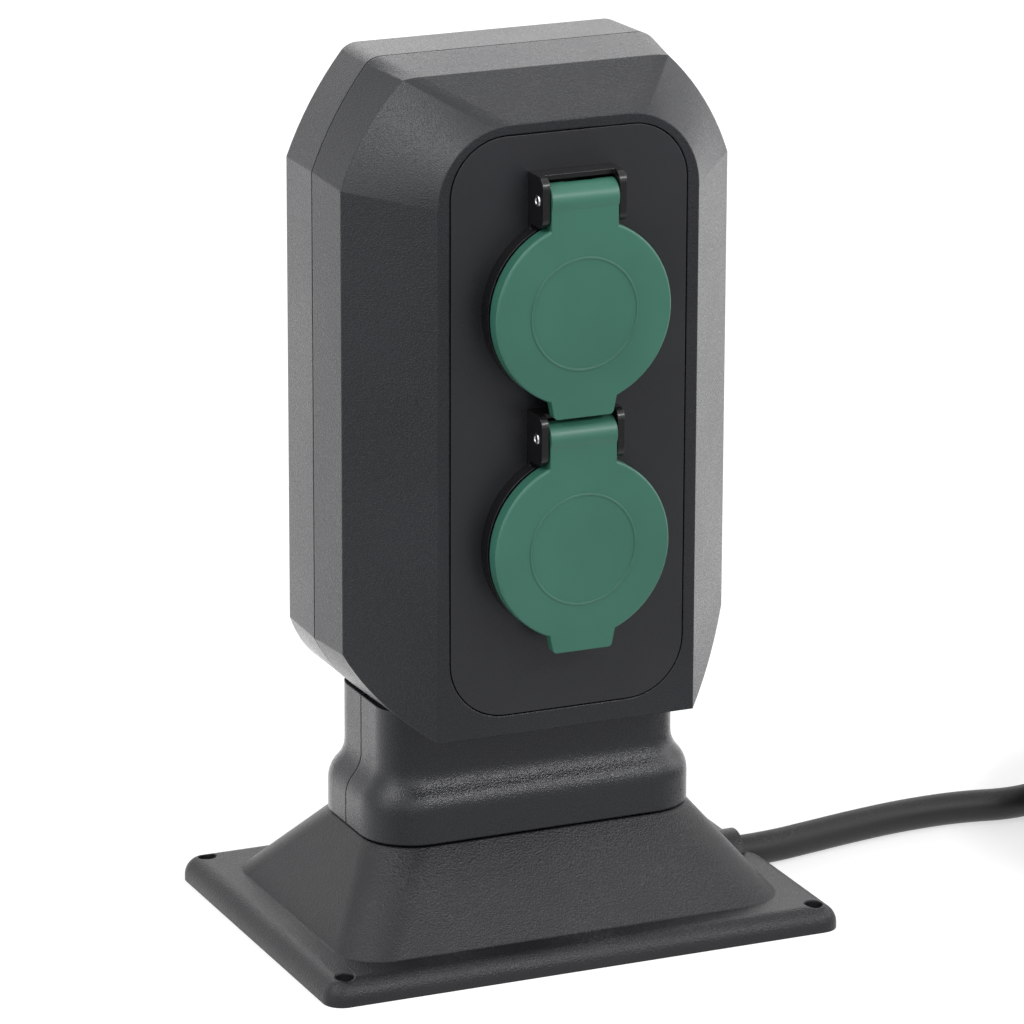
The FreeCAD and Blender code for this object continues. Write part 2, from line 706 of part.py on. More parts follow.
def base_plate():
    """Flat plate, pyramid, spigot and cable hood in one moulding, open underneath."""
    name = "base_plate"
    own = body(name)
    wall = s.base_wall
    plate = step(own, "Pad", f"{name}_plate", rectangle(f"{name}_plate_outline", "ground", 0, s.base_width,
                 s.base_depth, s.base_corner, own), Length=s.plate_height)
    doc.recompute()
    top = plain(s.plate_height)
    rim = edges_where(plate.Shape, lambda middle, edge: abs(middle.z - top) < 1e-6)
    round_edge = own.newObject("PartDesign::Fillet", f"{name}_rim")
    round_edge.Base = (plate, rim)
    bind(round_edge, "Radius", s.plate_round)

    def rise(tag, low, high, inset, kind):
        foot = rectangle(f"{name}_{tag}_foot", "ground", low, s.foot_width - 2 * inset,
                         s.foot_depth - 2 * inset, s.foot_corner - inset, own)
        deck = rectangle(f"{name}_{tag}_deck", "ground", high, s.deck_width - 2 * inset,
                         s.deck_depth - 2 * inset, s.deck_corner - inset, own)
        made = own.newObject(f"PartDesign::{kind}", f"{name}_{tag}")
        made.Profile = foot
        made.Sections = [deck]
        made.Ruled = True
        return made

    rise("pyramid", s.plate_height, s.deck_height, 0, "AdditiveLoft")
    inner = s.shell_wall + s.neck_step + s.spigot_clearance
    spigot_width = s.collar_width - 2 * inner
    spigot_depth = s.collar_depth - 2 * inner
    spigot_corner = s.collar_corner - inner
    step(own, "Pad", f"{name}_spigot", rectangle(f"{name}_spigot_outline", "ground", s.deck_height,
         spigot_width, spigot_depth, spigot_corner, own), Length=s.spigot_top - s.deck_height)
    tunnel = s.cable_diameter / 2 + s.cable_clearance
    hood = tunnel + s.hood_wall
    axis = s.cable_diameter / 2
    reach = s.base_width / 2 - s.mouth_depth
    step(own, "Pad", f"{name}_hood", outline(f"{name}_hood_outline", "side", s.deck_width / 2, [
        (-hood, 0), (hood, 0), (hood, axis, 0, hood), (0, axis + hood, 0, hood), (-hood, axis)], own),
        Length=reach - s.deck_width / 2)
    rise("room", wall, s.deck_height - wall, wall, "SubtractiveLoft")
    step(own, "Pocket", f"{name}_underside", rectangle(f"{name}_underside_outline", "ground", 0,
         s.base_width - 2 * wall, s.base_depth - 2 * wall, s.base_corner - wall, own),
         Length=s.plate_height - wall, Reversed=True)
    step(own, "Pocket", f"{name}_throat", rectangle(f"{name}_throat_outline", "ground", s.deck_height - wall - 1,
         spigot_width - 2 * wall, spigot_depth - 2 * wall, spigot_corner - wall, own),
         Length=s.spigot_top, Reversed=True)
    hole_x, hole_y = s.base_width / 2 - s.hole_inset_x, s.base_depth / 2 - s.hole_inset_y
    spots = [(x * hole_x, y * hole_y) for x in (-1, 1) for y in (-1, 1)]
    step(own, "Pad", f"{name}_posts", circles(f"{name}_post_discs", "ground", 0,
         [(x, y, s.hole_post) for x, y in spots], own), Length=s.plate_height - wall / 2)
    step(own, "Pocket", f"{name}_holes", circles(f"{name}_hole_discs", "ground", 0,
         [(x, y, s.hole_bore) for x, y in spots], own), Length=s.plate_height, Reversed=True)
    step(own, "Pocket", f"{name}_tunnel", outline(f"{name}_tunnel_outline", "side", s.deck_width / 2 - wall, [
        (-tunnel, -1), (tunnel, -1), (tunnel, axis, 0, tunnel), (0, axis + tunnel, 0, tunnel),
        (-tunnel, axis)], own), Length=s.base_width / 2, Reversed=True)
    flare = tunnel + s.mouth_depth
    step(own, "Pocket", f"{name}_mouth", outline(f"{name}_mouth_outline", "ground", -1, [
        (reach, -tunnel), (s.base_width / 2 + 1, -flare), (s.base_width / 2 + 1, flare),
        (reach, tunnel)], own), Length=s.base_width, Reversed=True)
    step(own, "Pocket", f"{name}_neck_pilots", circles(f"{name}_neck_pilot_discs", "front",
         -(spigot_depth / 2 + 1), [(side * s.neck_screws / 2, s.neck_screw_height,
         s.screw_shank + 2 * s.screw_clearance) for side in (-1, 1)], own), Length=wall + 2, Reversed=True)


def front_panel():
    """Thin plate let into the front, with a hole for each socket."""
    name = "front_panel"
    own = body(name)
    middle = (s.panel_top + s.panel_bottom) / 2
    step(own, "Pad", f"{name}_plate", rectangle(f"{name}_outline", "front", s.front_depth - s.panel_thickness,
         s.panel_width, s.panel_top - s.panel_bottom, s.panel_corner, own, y=middle), Length=s.panel_thickness)
    step(own, "Pocket", f"{name}_holes", circles(f"{name}_discs", "front", s.front_depth, [
        (0, z, s.barrel_diameter + s.barrel_clearance) for z in (s.upper_socket_height, s.lower_socket_height)], own),
        Length=s.panel_thickness)


def joint_seal():
    """Flat seal that fills the slit between the two shells, set back from the outside."""
    thick = 2 * s.joint_gap
    depth = -s.joint_gap
    inset = s.shell_wall
    brow = (s.brow_drop, s.brow_bulge, s.crown_bulge)
    outer = head_outline("seal_outer", depth, 0.3 * inset, 0, 0, 0, brow)
    inner = head_outline("seal_inner", depth, inset, 0, 0, 0, brow)
    neck = s.collar_width - 2 * s.neck_step
    ring = cut("seal_ring", extrude("seal_sheet", outer, thick), extrude("seal_window", inner, thick))
    gate = block("seal_gate", (-(neck / 2 - inset), depth, s.spigot_top),
                 (neck / 2 - inset, -depth, s.head_bottom + 2 * inset))
    legs = [block(f"seal_leg_{k}", (side * (neck / 2 - 0.65 * inset) - 0.35 * inset, depth, s.spigot_top),
                  (side * (neck / 2 - 0.65 * inset) + 0.35 * inset, -depth, s.head_bottom + 2 * inset))
            for k, side in enumerate((-1, 1))]
    node("joint_seal", fuse("joint_seal", cut("seal_open_ring", ring, gate), *legs))


def socket_body(name, height):
    """Barrel with flange, well, floor and the hinge bracket above it, in one moulding."""
    own = body(name)
    front, seat = s.flange_depth, s.front_depth + s.seat_gap
    outer, well, barrel = s.flange_diameter / 2, s.well_diameter / 2, s.barrel_diameter / 2
    floor, chamber, rear = s.well_floor, s.well_floor - s.floor_thickness, s.barrel_back
    turned(f"{name}_barrel", own, "side", "H_Axis", [
        (-front, well), (-front, outer), (-seat, outer), (-seat, barrel), (-rear, barrel), (-rear, well),
        (-chamber, well), (-chamber, 0), (-floor, 0), (-floor, well)])
    for k, side in enumerate((-1, 1)):
        step(own, "Pad", f"{name}_guide_{k}", rectangle(f"{name}_guide_outline_{k}", "front", floor,
             s.guide_height * 2, s.guide_width, 0, own, x=side * well), Length=front - floor - 1.5)
    step(own, "Pocket", f"{name}_pin_holes", circles(f"{name}_pin_discs", "front", floor + 1, [
        (side * s.pin_pitch / 2, 0, s.pin_hole) for side in (-1, 1)], own), Length=s.floor_thickness + 2)
    slot = s.clip_metal + s.clip_bulge
    for k, side in enumerate((-1, 1)):
        middle = side * (s.clip_spread + 0.3 - slot / 2)
        step(own, "Pocket", f"{name}_clip_slot_{k}", rectangle(f"{name}_clip_slot_outline_{k}", "front",
             floor + 1, s.clip_width + 0.6, slot, 0, own, y=middle), Length=s.floor_thickness + 2)
    ears = s.arm_width / 2 + s.ear_gap
    half = ears + s.ear_thickness
    step(own, "Pad", f"{name}_bracket", outline(f"{name}_bracket_outline", "front", seat, [
        (-half, barrel), (half, barrel), (half, s.ear_top, 1), (-half, s.ear_top, 1)], own),
        Length=s.bracket_wall)
    step(own, "Pad", f"{name}_bar", rectangle(f"{name}_bar_outline", "side", 0, s.bar_depth - seat,
         s.bar_thickness, 0, own, x=-(s.bar_depth + seat) / 2, y=s.ear_top - s.bar_thickness / 2),
         Length=2 * ears + 1, Midplane=True)
    for k, start in enumerate((ears, -half)):
        step(own, "Pad", f"{name}_ear_{k}", outline(f"{name}_ear_outline_{k}", "side", start, [
            (-seat, s.ear_bottom), (-seat, s.ear_top), (-s.ear_depth, s.ear_top, 3),
            (-s.ear_depth, s.ear_bottom, 3)], own), Length=s.ear_thickness)
    step(own, "Pocket", f"{name}_axle_hole", circles(f"{name}_axle_disc", "side", 0, [
        (-s.axle_depth, s.axle_rise, s.axle_diameter + 2 * s.axle_clearance)], own),
        Length=s.base_width, Midplane=True)
    place(own, z=height)


def contact_cover(name, height):
    """Disc that closes the contact chamber at the back."""
    own = body(name)
    front = s.barrel_back
    width = s.well_diameter - s.barrel_clearance / 2
    step(own, "Pad", f"{name}_disc", circles(f"{name}_edge", "front", front - s.cover_thickness,
         [(0, 0, width)], own), Length=s.cover_thickness)
    step(own, "Pocket", f"{name}_tail_holes", circles(f"{name}_tail_discs", "front", front, [
        (side * s.pin_pitch / 2, 0, s.tail_diameter + 0.2) for side in (-1, 1)], own), Length=s.cover_thickness)
    for k, side in enumerate((-1, 1)):
        step(own, "Pocket", f"{name}_clip_slot_{k}", rectangle(f"{name}_clip_slot_outline_{k}", "front", front,
             s.clip_width + 0.4, s.clip_metal + 2, 0, own, y=side * s.clip_spread),
             Length=s.cover_thickness)
    place(own, z=height)


def retaining_ring(name, height):
    """Ring nut that holds the socket against the wall from inside."""
    own = body(name)
    start = s.front_depth - s.front_wall - s.ring_height
    step(own, "Pad", f"{name}_ring", circles(f"{name}_discs", "front", start, [
        (0, 0, s.ring_diameter), (0, 0, s.barrel_diameter + s.barrel_clearance)], own), Length=s.ring_height)
    notch = step(own, "Pocket", f"{name}_notch", rectangle(f"{name}_notch_outline", "front", start, 6, 3, 0,
                 own, y=s.ring_diameter / 2), Length=s.ring_height / 2, Reversed=True)
    doc.recompute()
    pattern = own.newObject("PartDesign::PolarPattern", f"{name}_notches")
    pattern.Originals = [notch]
    axis = [item for item in own.Origin.OriginFeatures if item.Role == "Y_Axis"][0]
    pattern.Axis = (axis, [""])
    pattern.Angle = 360
    pattern.Occurrences = 6
    own.Tip = pattern
    place(own, z=height)


def lid(name, height):
    """Dished disc with an arm up to the hinge, a knuckle and a finger tab below."""
    own = body(name)
    front, back = s.lid_depth, s.lid_back
    radius = s.lid_diameter / 2
    inner = radius - s.lid_rim
    turned(f"{name}_disc", own, "side", "H_Axis", [
        (-front, 0), (-front + s.lid_skin, 0), (-front + s.lid_skin, inner), (-back, inner),
        (-back, radius), (-front, radius, s.lid_round)])
    ring = s.lid_ring / 2
    half_ring = s.lid_ring_width / 2
    turned(f"{name}_ring", own, "side", "H_Axis", [
        (-front - s.lid_ring_height, ring - half_ring), (-front + 0.3, ring - half_ring),
        (-front + 0.3, ring + half_ring), (-front - s.lid_ring_height, ring + half_ring)])
    arm_back = front - s.arm_thickness
    arm = s.arm_width / 2
    rim_middle = radius - s.lid_rim / 2
    rooted = root(rim_middle * rim_middle - arm * arm)
    step(own, "Pad", f"{name}_arm", outline(f"{name}_arm_outline", "front", arm_back, [
        (-arm, rooted, 0, -rim_middle), (arm, rooted), (arm, s.axle_rise), (-arm, s.axle_rise)], own),
        Length=s.arm_thickness)
    step(own, "Pad", f"{name}_knuckle", circles(f"{name}_knuckle_disc", "side", 0, [
        (-s.axle_depth, s.axle_rise, s.knuckle_diameter)], own), Length=s.arm_width, Midplane=True)
    step(own, "Pad", f"{name}_tab", outline(f"{name}_tab_outline", "front", front - s.tab_thickness, [
        (-s.tab_width / 2, -s.tab_drop, s.tab_round), (s.tab_width / 2, -s.tab_drop, s.tab_round),
        (arm, -rooted, 0, -rim_middle), (-arm, -rooted)], own), Length=s.tab_thickness)
    room = s.spring_room / 2
    low, high = s.lid_diameter / 2 - s.lid_rim, s.axle_rise + s.knuckle_diameter
    step(own, "Pocket", f"{name}_spring_room", circles(f"{name}_spring_disc", "side", 0, [
        (-s.axle_depth, s.axle_rise, s.spring_room)], own), Length=s.spring_slot, Midplane=True)
    step(own, "Pocket", f"{name}_spring_slot", outline(f"{name}_spring_slot_outline", "side", 0, [
        (-s.axle_depth, s.axle_rise - room), (-back, low), (-s.front_depth, low),
        (-s.front_depth, high), (-s.axle_depth, high)], own),
        Length=s.spring_slot, Midplane=True)
    step(own, "Pocket", f"{name}_axle_hole", circles(f"{name}_axle_disc", "side", 0, [
        (-s.axle_depth, s.axle_rise, s.axle_diameter + 4 * s.axle_clearance)], own),
        Length=s.base_width, Midplane=True)
    place(own, z=height)


def lid_seal(name, height):
    """Rubber ring inside the lid that meets the socket's flange."""
    own = body(name)
    outer = s.lid_diameter - 2 * s.lid_rim - 0.1
    front = s.lid_depth - s.lid_skin - s.seat_gap
    start = s.flange_depth + s.seal_gap
    step(own, "Pad", f"{name}_ring", circles(f"{name}_discs", "front", start, [
        (0, 0, outer), (0, 0, outer - 2 * s.seal_width)], own), Length=front - start)
    place(own, z=height)


def hinge_pin(name, height):
    """Hollow steel pin through both ears and the knuckle."""
    own = body(name)
    step(own, "Pad", f"{name}_pin", circles(f"{name}_discs", "side", 0, [
        (0, 0, s.axle_diameter), (0, 0, s.axle_bore)], own), Length=s.axle_length, Midplane=True)
    place(own, y=-s.axle_depth, z=height + s.axle_rise)


def contact_bar(name, side):
    """Brass strip behind both sockets, with a sleeve into each for one plug pin."""
    own = body(name)
    x = side * s.pin_pitch / 2
    low, high = s.block_bottom + s.block_height, s.upper_socket_height + s.sleeve_diameter
    step(own, "Pad", f"{name}_strip", rectangle(f"{name}_outline", "front", s.bar_front - s.bar_metal,
         s.bar_width, high - low, 0, own, x=x, y=(high + low) / 2), Length=s.bar_metal)
    spots = [(x, s.upper_socket_height), (x, s.lower_socket_height)]
    step(own, "Pad", f"{name}_tails", circles(f"{name}_tail_discs", "front", s.bar_front, [
        (x, z, s.tail_diameter) for x, z in spots], own), Length=s.sleeve_back - s.bar_front)
    step(own, "Pad", f"{name}_sleeves", circles(f"{name}_sleeve_discs", "front", s.sleeve_back, [
        (x, z, s.sleeve_diameter) for x, z in spots], own), Length=s.sleeve_depth - s.sleeve_back)
    step(own, "Pocket", f"{name}_bores", circles(f"{name}_bore_discs", "front", s.sleeve_depth, [
        (x, z, s.sleeve_bore) for x, z in spots], own), Length=s.sleeve_depth - s.sleeve_back - 1)


def earth_bar():
    """Brass strip that joins the earth clips of both sockets."""
    name = "earth_bar"
    own = body(name)
    low, high = s.block_bottom + s.block_height, s.upper_socket_height + s.sleeve_diameter
    back = s.barrel_back - s.cover_thickness - s.clip_metal
    step(own, "Pad", f"{name}_strip", rectangle(f"{name}_outline", "front", back - s.bar_metal, s.bar_width,
         high - low, 0, own, y=(high + low) / 2), Length=s.bar_metal)


def earth_clip(name, height):
    """Sprung strap round the back of a socket, with a bowed contact at the top and bottom of the well."""
    own = body(name)
    back = s.barrel_back - s.cover_thickness - s.clip_metal
    outer, metal, bulge, reach = s.clip_spread, s.clip_metal, s.clip_bulge, s.clip_reach
    skin = [(-reach, outer - metal / 2), (-(reach - 4), outer - bulge), (-(reach - 9), outer), (-back, outer)]
    inside = [(-reach, outer - 1.5 * metal), (-(reach - 4), outer - bulge - metal),
              (-(reach - 9), outer - metal), (-(back + metal), outer - metal)]
    points = skin + [(x, -z) for x, z in reversed(skin)]
    points += [(x, -z) for x, z in inside] + list(reversed(inside))
    step(own, "Pad", f"{name}_strap", outline(f"{name}_outline", "side", 0, points, own),
         Length=s.clip_width, Midplane=True)
    place(own, z=height)


def terminal_block():
    """Moulded block with three wire entries below and two fixing holes."""
    name = "terminal_block"
    own = body(name)
    middle = s.block_bottom + s.block_height / 2
    depth = s.block_front - s.block_back
    step(own, "Pad", f"{name}_block", rectangle(f"{name}_outline", "front", s.block_back, s.block_width,
         s.block_height, 1, own, y=middle), Length=depth)
    entry = s.block_back + depth / 2
    step(own, "Pocket", f"{name}_entries", circles(f"{name}_entry_discs", "ground", s.block_bottom, [
        (side * s.pin_pitch / 2, -entry, s.core_diameter + 0.8) for side in (-1, 0, 1)], own),
        Length=s.core_grip + 1, Reversed=True)
    step(own, "Pocket", f"{name}_holes", circles(f"{name}_hole_discs", "front", s.block_front, [
        (side * s.block_screws / 2, middle, s.screw_shank + 2 * s.screw_clearance) for side in (-1, 1)],
        own), Length=depth)


def cable_clamp():
    """Saddle that presses the cable against the front shell's posts."""
    name = "cable_clamp"
    own = body(name)
    grip = s.cable_diameter / 2 + s.screw_clearance
    side, start, end = s.clamp_width / 2, s.joint_gap, s.cable_diameter / 2 + s.clamp_thickness
    height = s.clamp_thickness * 2
    step(own, "Pad", f"{name}_saddle", outline(f"{name}_outline", "ground", s.clamp_height - height / 2, [
        (-side, -start), (-grip, -start), (-grip, 0, 0, -grip), (0, grip, 0, -grip), (grip, 0),
        (grip, -start), (side, -start), (side, end), (-side, end)], own), Length=height)
    step(own, "Pocket", f"{name}_holes", circles(f"{name}_hole_discs", "front", start, [
        (x * s.clamp_spread, s.clamp_height, s.screw_shank + 2 * s.screw_clearance) for x in (-1, 1)],
        own), Length=end + start)


def screw(name, length, x, y, z):
    """Pan-head screw with its head to the back and its point to the front."""
    own = doc.addObject("PartDesign::Body", name)
    head, shank, rise = s.screw_head / 2, s.screw_shank / 2, s.screw_head_height
    turned(f"{name}_form", own, "front", "V_Axis", [
        (0, -length), (shank / 3, -length), (shank, shank - length), (shank, 0), (head, 0),
        (head, rise, rise * 0.6), (0, rise)])
    return place(own, x, y, z, TO_BACK)


def screw_group(name, length, spots):
    screws = [screw(f"{name}_{k}", length, *spot) for k, spot in enumerate(spots)]
    node(name, feature("Part::Compound", name, Links=screws))


def screws():
    heights = [s.post_low + s.post_step * k for k in range(3)]
    screw_group("housing_screws", s.screw_seat + s.screw_grip, [
        (side * s.post_spread / 2, s.screw_seat, z) for side in (-1, 1) for z in heights])
    screw_group("neck_screws", s.base_wall + s.shell_wall + s.spigot_clearance, [
        (side * s.neck_screws / 2, s.collar_depth / 2 - s.neck_step, s.neck_screw_height) for side in (-1, 1)])
    screw_group("clamp_screws", s.cable_diameter / 2 + s.clamp_thickness + s.screw_grip - 4, [
        (side * s.clamp_spread, s.cable_diameter / 2 + s.clamp_thickness, s.clamp_height) for side in (-1, 1)])
    screw_group("block_screws", s.block_front - s.block_back + s.screw_grip - 4, [
        (side * s.block_screws / 2, -s.block_back, s.block_bottom + s.block_height / 2) for side in (-1, 1)])


# Tubes: cords, wires and wound springs

def vector(point):
    return Vector(*(plain(part) for part in point))


def arc_from(start, way, end):
    """The arc from start in a given direction to end, or a straight edge where it doesn't turn."""
    chord = end - start
    side = chord.cross(way).cross(chord)
    if side.Length < 1e-9 * chord.Length ** 2:
        return Part.LineSegment(start, end).toShape()
    lift = chord.Length / 2 * math.tan(way.getAngle(chord) / 2)
    return Part.Arc(start, (start + end) * 0.5 + side.normalize() * lift, end).toShape()


def pipe(edges, diameter):
    """A round tube along a tangent chain of edges."""
    path = Part.Wire(edges)
    first = edges[0]
    start = first.valueAt(first.FirstParameter)
    way = first.tangentAt(first.FirstParameter)
    ring = Part.Wire([Part.Circle(start, way, diameter / 2).toShape()])
    return path.makePipeShell([ring], True, False), path


def route_edges(points):
    """Straight runs joined by tangent arcs as large as the runs allow, and the arcs' radii."""
    points = [vector(point) for point in points]
    edges, radii = [], []
    at = points[0]
    for before, corner, after in zip(points, points[1:], points[2:]):
        into, out = (corner - before), (after - corner)
        half_turn = into.getAngle(out) / 2
        reach = 0.45 * min(into.Length, out.Length)
        radii.append(reach / math.tan(half_turn))
        entry = corner - into.normalize() * reach
        leave = corner + out.normalize() * reach
        edges.append(Part.LineSegment(at, entry).toShape())
        edges.append(arc_from(entry, into, leave))
        at = leave
    edges.append(Part.LineSegment(at, points[-1]).toShape())
    return edges, radii


def cord(name, points, diameter):
    """A node whose tube follows a route of points."""
    diameter = plain(diameter)
    edges, radii = route_edges(points)
    tube, path = pipe(edges, diameter)
    made = doc.addObject("Part::Feature", name)
    made.Shape = tube
    share = tube.Volume / (math.pi * diameter ** 2 / 4 * path.Length)
    print(f"{name}: {path.Length:.1f} mm, least radius {min(radii):.1f} mm, volume share {share:.4f}")
    return node(name, made), path.Length


def biarcs(points, ways):
    """Two tangent arcs between each pair of points, with the directions given at the points."""
    edges = []
    for start, end, leave, arrive in zip(points, points[1:], ways, ways[1:]):
        chord, both = end - start, leave + arrive
        spare = 2 * (1 - leave.dot(arrive))
        along = chord.dot(both)
        if spare > 1e-9:
            reach = (math.sqrt(along ** 2 + spare * chord.dot(chord)) - along) / spare
        else:
            reach = chord.dot(chord) / (2 * along)
        join = (start + leave * reach + end - arrive * reach) * 0.5
        edges.append(arc_from(start, leave, join))
        edges.append(arc_from(join, (end - arrive * reach - join).normalize(), end))
    return edges


def wound(position, turns, steps):
    """Points and directions along a curve given by a function of the turns so far."""
    small = 1e-4
    times = [turns * k / steps for k in range(steps + 1)]
    points = [position(time) for time in times]
    ways = [(position(time + small) - position(time - small)).normalize() for time in times]
    return points, ways


def hinge_spring(name, height):
    """Coil of wire round the hinge pin, with one leg down against the bracket."""
    radius, pitch, wire = (plain(part) for part in (s.spring_diameter / 2, s.spring_pitch, s.spring_wire))
    turns = 5.0

    def position(time):
        angle = 2 * math.pi * time
        return Vector(pitch * (time - turns / 2), radius * math.cos(angle), radius * math.sin(angle))

    points, ways = wound(position, turns, 20)
    edges = biarcs(points, ways)
    start = points[0] - ways[0] * plain(s.spring_leg)
    leg = Part.LineSegment(start, points[0]).toShape()
    tube, _ = pipe([leg] + edges, wire)
    made = doc.addObject("Part::Feature", name)
    made.Shape = tube
    node(name, place(made, y=-s.axle_depth, z=height + s.axle_rise))


# The cord that lies on the ground: out of the base, past the right, into a coil and to its plug.
# Its heights are taken from the cable's radius, so that it rests on the ground.

LEAD_ROUTE = [(80, 0), (94, 2.0), (110, 5.0), (127, 7.6), (145, 8.0), (163, 6.4)]
COIL_START = (199.9, 10.6)
COIL_START_ANGLE = 98.5
TAIL_ROUTE = [(185.8, 23.7, 14.2), (203.1, 43.2, 10.8), (223.2, 51.9, 8.2), (245.1, 51.4, 6.4),
              (264.7, 41.7, 5.4), (278.4, 24.6, 4.9), (283.7, 3.3, 4.8)]
PLUG_START = (283.7, -20.7)
END_RUN = 15.0


def coil_position(time):
    """Where the coil's line is after some turns: in along the ground, up a layer, and out again."""
    pitch, turns = plain(s.coil_pitch), plain(s.coil_turns)
    middle = turns / 2
    past = time - middle
    inward = middle - 0.125 - 2 * past ** 2 if abs(past) < 0.25 else middle - abs(past)
    climb = min(1, max(0, past / 0.5 + 0.5))
    outer = plain(s.coil_middle) / 2 + pitch * (middle - 0.125) / 2
    radius = outer - pitch * inward
    start = math.radians(COIL_START_ANGLE)
    centre = Vector(COIL_START[0] - outer * math.cos(start), COIL_START[1] - outer * math.sin(start), 0)
    angle = start - 2 * math.pi * time
    height = plain(s.cable_diameter / 2 + s.tie_thickness) + pitch * climb * climb * (3 - 2 * climb)
    return centre + Vector(radius * math.cos(angle), radius * math.sin(angle), height)


def self_gap(points, diameter, apart):
    """The least clear distance between stretches of a tube that aren't neighbours along it."""
    least = 1e9
    for i, point in enumerate(points):
        for other in points[i + apart:]:
            least = min(least, (other - point).Length)
    return least - diameter


def plug_axis():
    """The middle of the strain relief's rear face and the plug's direction, as it lies tipped on the ground."""
    waist_start, flange_start = s.plug_length * 0.3, s.plug_length - s.plug_face_length
    tilt = math.atan2(plain(s.plug_face - s.plug_waist) / 2, plain(flange_start - waist_start))
    height = plain(s.plug_face) / 2 * math.cos(tilt) - plain(s.relief_length + flange_start) * math.sin(tilt)
    return Vector(*PLUG_START, height), Vector(0, -math.cos(tilt), math.sin(tilt))


def free_cord():
    """The lead out of the base, the coil, and the tail with the plug on its end."""
    diameter = plain(s.cable_diameter)
    turns = plain(s.coil_turns)
    points, ways = wound(coil_position, turns, int(turns * 4))
    first = points[0] - ways[0] * diameter
    last = points[-1] + ways[-1] * diameter
    edges = [Part.LineSegment(first, points[0]).toShape()] + biarcs(points, ways)
    edges.append(Part.LineSegment(points[-1], last).toShape())
    tube, path = pipe(edges, diameter)
    made = doc.addObject("Part::Feature", "cord_coil")
    made.Shape = tube
    node("cord_coil", made)
    fine = [coil_position(turns * k / 400) for k in range(401)]
    print(f"cord_coil: {path.Length:.1f} mm, self gap {self_gap(fine, diameter, 60):.2f} mm")
    ground = diameter / 2
    lead = [(plain(s.base_width / 2 - s.mouth_depth), 0, ground)] + [(x, y, ground) for x, y in LEAD_ROUTE]
    lead += [first - ways[0] * (END_RUN - 3), first]
    _, lead_length = cord("power_cord", lead, s.cable_diameter)
    end, way = plug_axis()
    tail = [last, last + ways[-1] * (END_RUN + 4), *TAIL_ROUTE, end - way * (END_RUN - 3), end]
    _, tail_length = cord("cord_tail", tail, s.cable_diameter)
    print(f"free cord in all: {lead_length + path.Length + tail_length:.0f} mm")


def inner_leads():
    """The sheathed cable inside the base and neck, and its three cores up to the terminals."""
    axis = s.cable_diameter / 2
    bend = plain(s.cable_bend)
    path = [Vector(plain(s.base_width / 2 - s.mouth_depth), 0, plain(axis)), Vector(bend, 0, plain(axis)),
            Vector(0, 0, bend + plain(axis)), Vector(0, 0, plain(s.cable_top))]
    edges = [Part.LineSegment(path[0], path[1]).toShape(), arc_from(path[1], Vector(-1, 0, 0), path[2]),
             Part.LineSegment(path[2], path[3]).toShape()]
    tube, _ = pipe(edges, plain(s.cable_diameter))
    made = doc.addObject("Part::Feature", "inner_cable")
    made.Shape = tube
    node("inner_cable", made)
    top = s.cable_top
    entry = s.block_bottom
    depth = (s.block_front + s.block_back) / 2
    cores = (("live_wire", 1, 2.4, 1.4), ("neutral_wire", -1, -2.4, 1.4), ("earth_wire", 0, 0, -2.6))
    for name, side, x, y in cores:
        goal = side * s.pin_pitch / 2
        cord(name, [(x, y, top), (x, y, top + 4), (goal, -depth, entry - 2), (goal, -depth, entry + s.core_grip)],
             s.core_diameter)


def cord_tie():
    """Strap round the strands of the coil on its front side, opposite its start."""
    name = "cord_tie"
    own = body(name)
    count = int(plain(s.coil_turns) + 0.5)
    strands = sorted((coil_position(k + 0.5) for k in range(count)), key=lambda strand: strand.y)
    across = strands[-1] - strands[0]
    across.z = 0
    centre = (strands[0] + strands[-1]) * 0.5
    turn = math.degrees(math.atan2(across.y, across.x))
    wide = s.cable_diameter + across.Length + 0.6
    high = s.cable_diameter + s.coil_pitch + 0.6
    wall = 2 * s.tie_thickness
    step(own, "Pad", f"{name}_strap",
         rectangle(f"{name}_outline", "front", 0, wide + wall, high + wall, 4, own),
         Length=s.tie_width, Midplane=True)
    step(own, "Pocket", f"{name}_room", rectangle(f"{name}_room_outline", "front", 0, wide, high, 3, own),
         Length=s.tie_width + 1, Midplane=True)
    place(own, centre.x, centre.y, (high + wall) / 2, Rotation(Vector(0, 0, 1), turn))


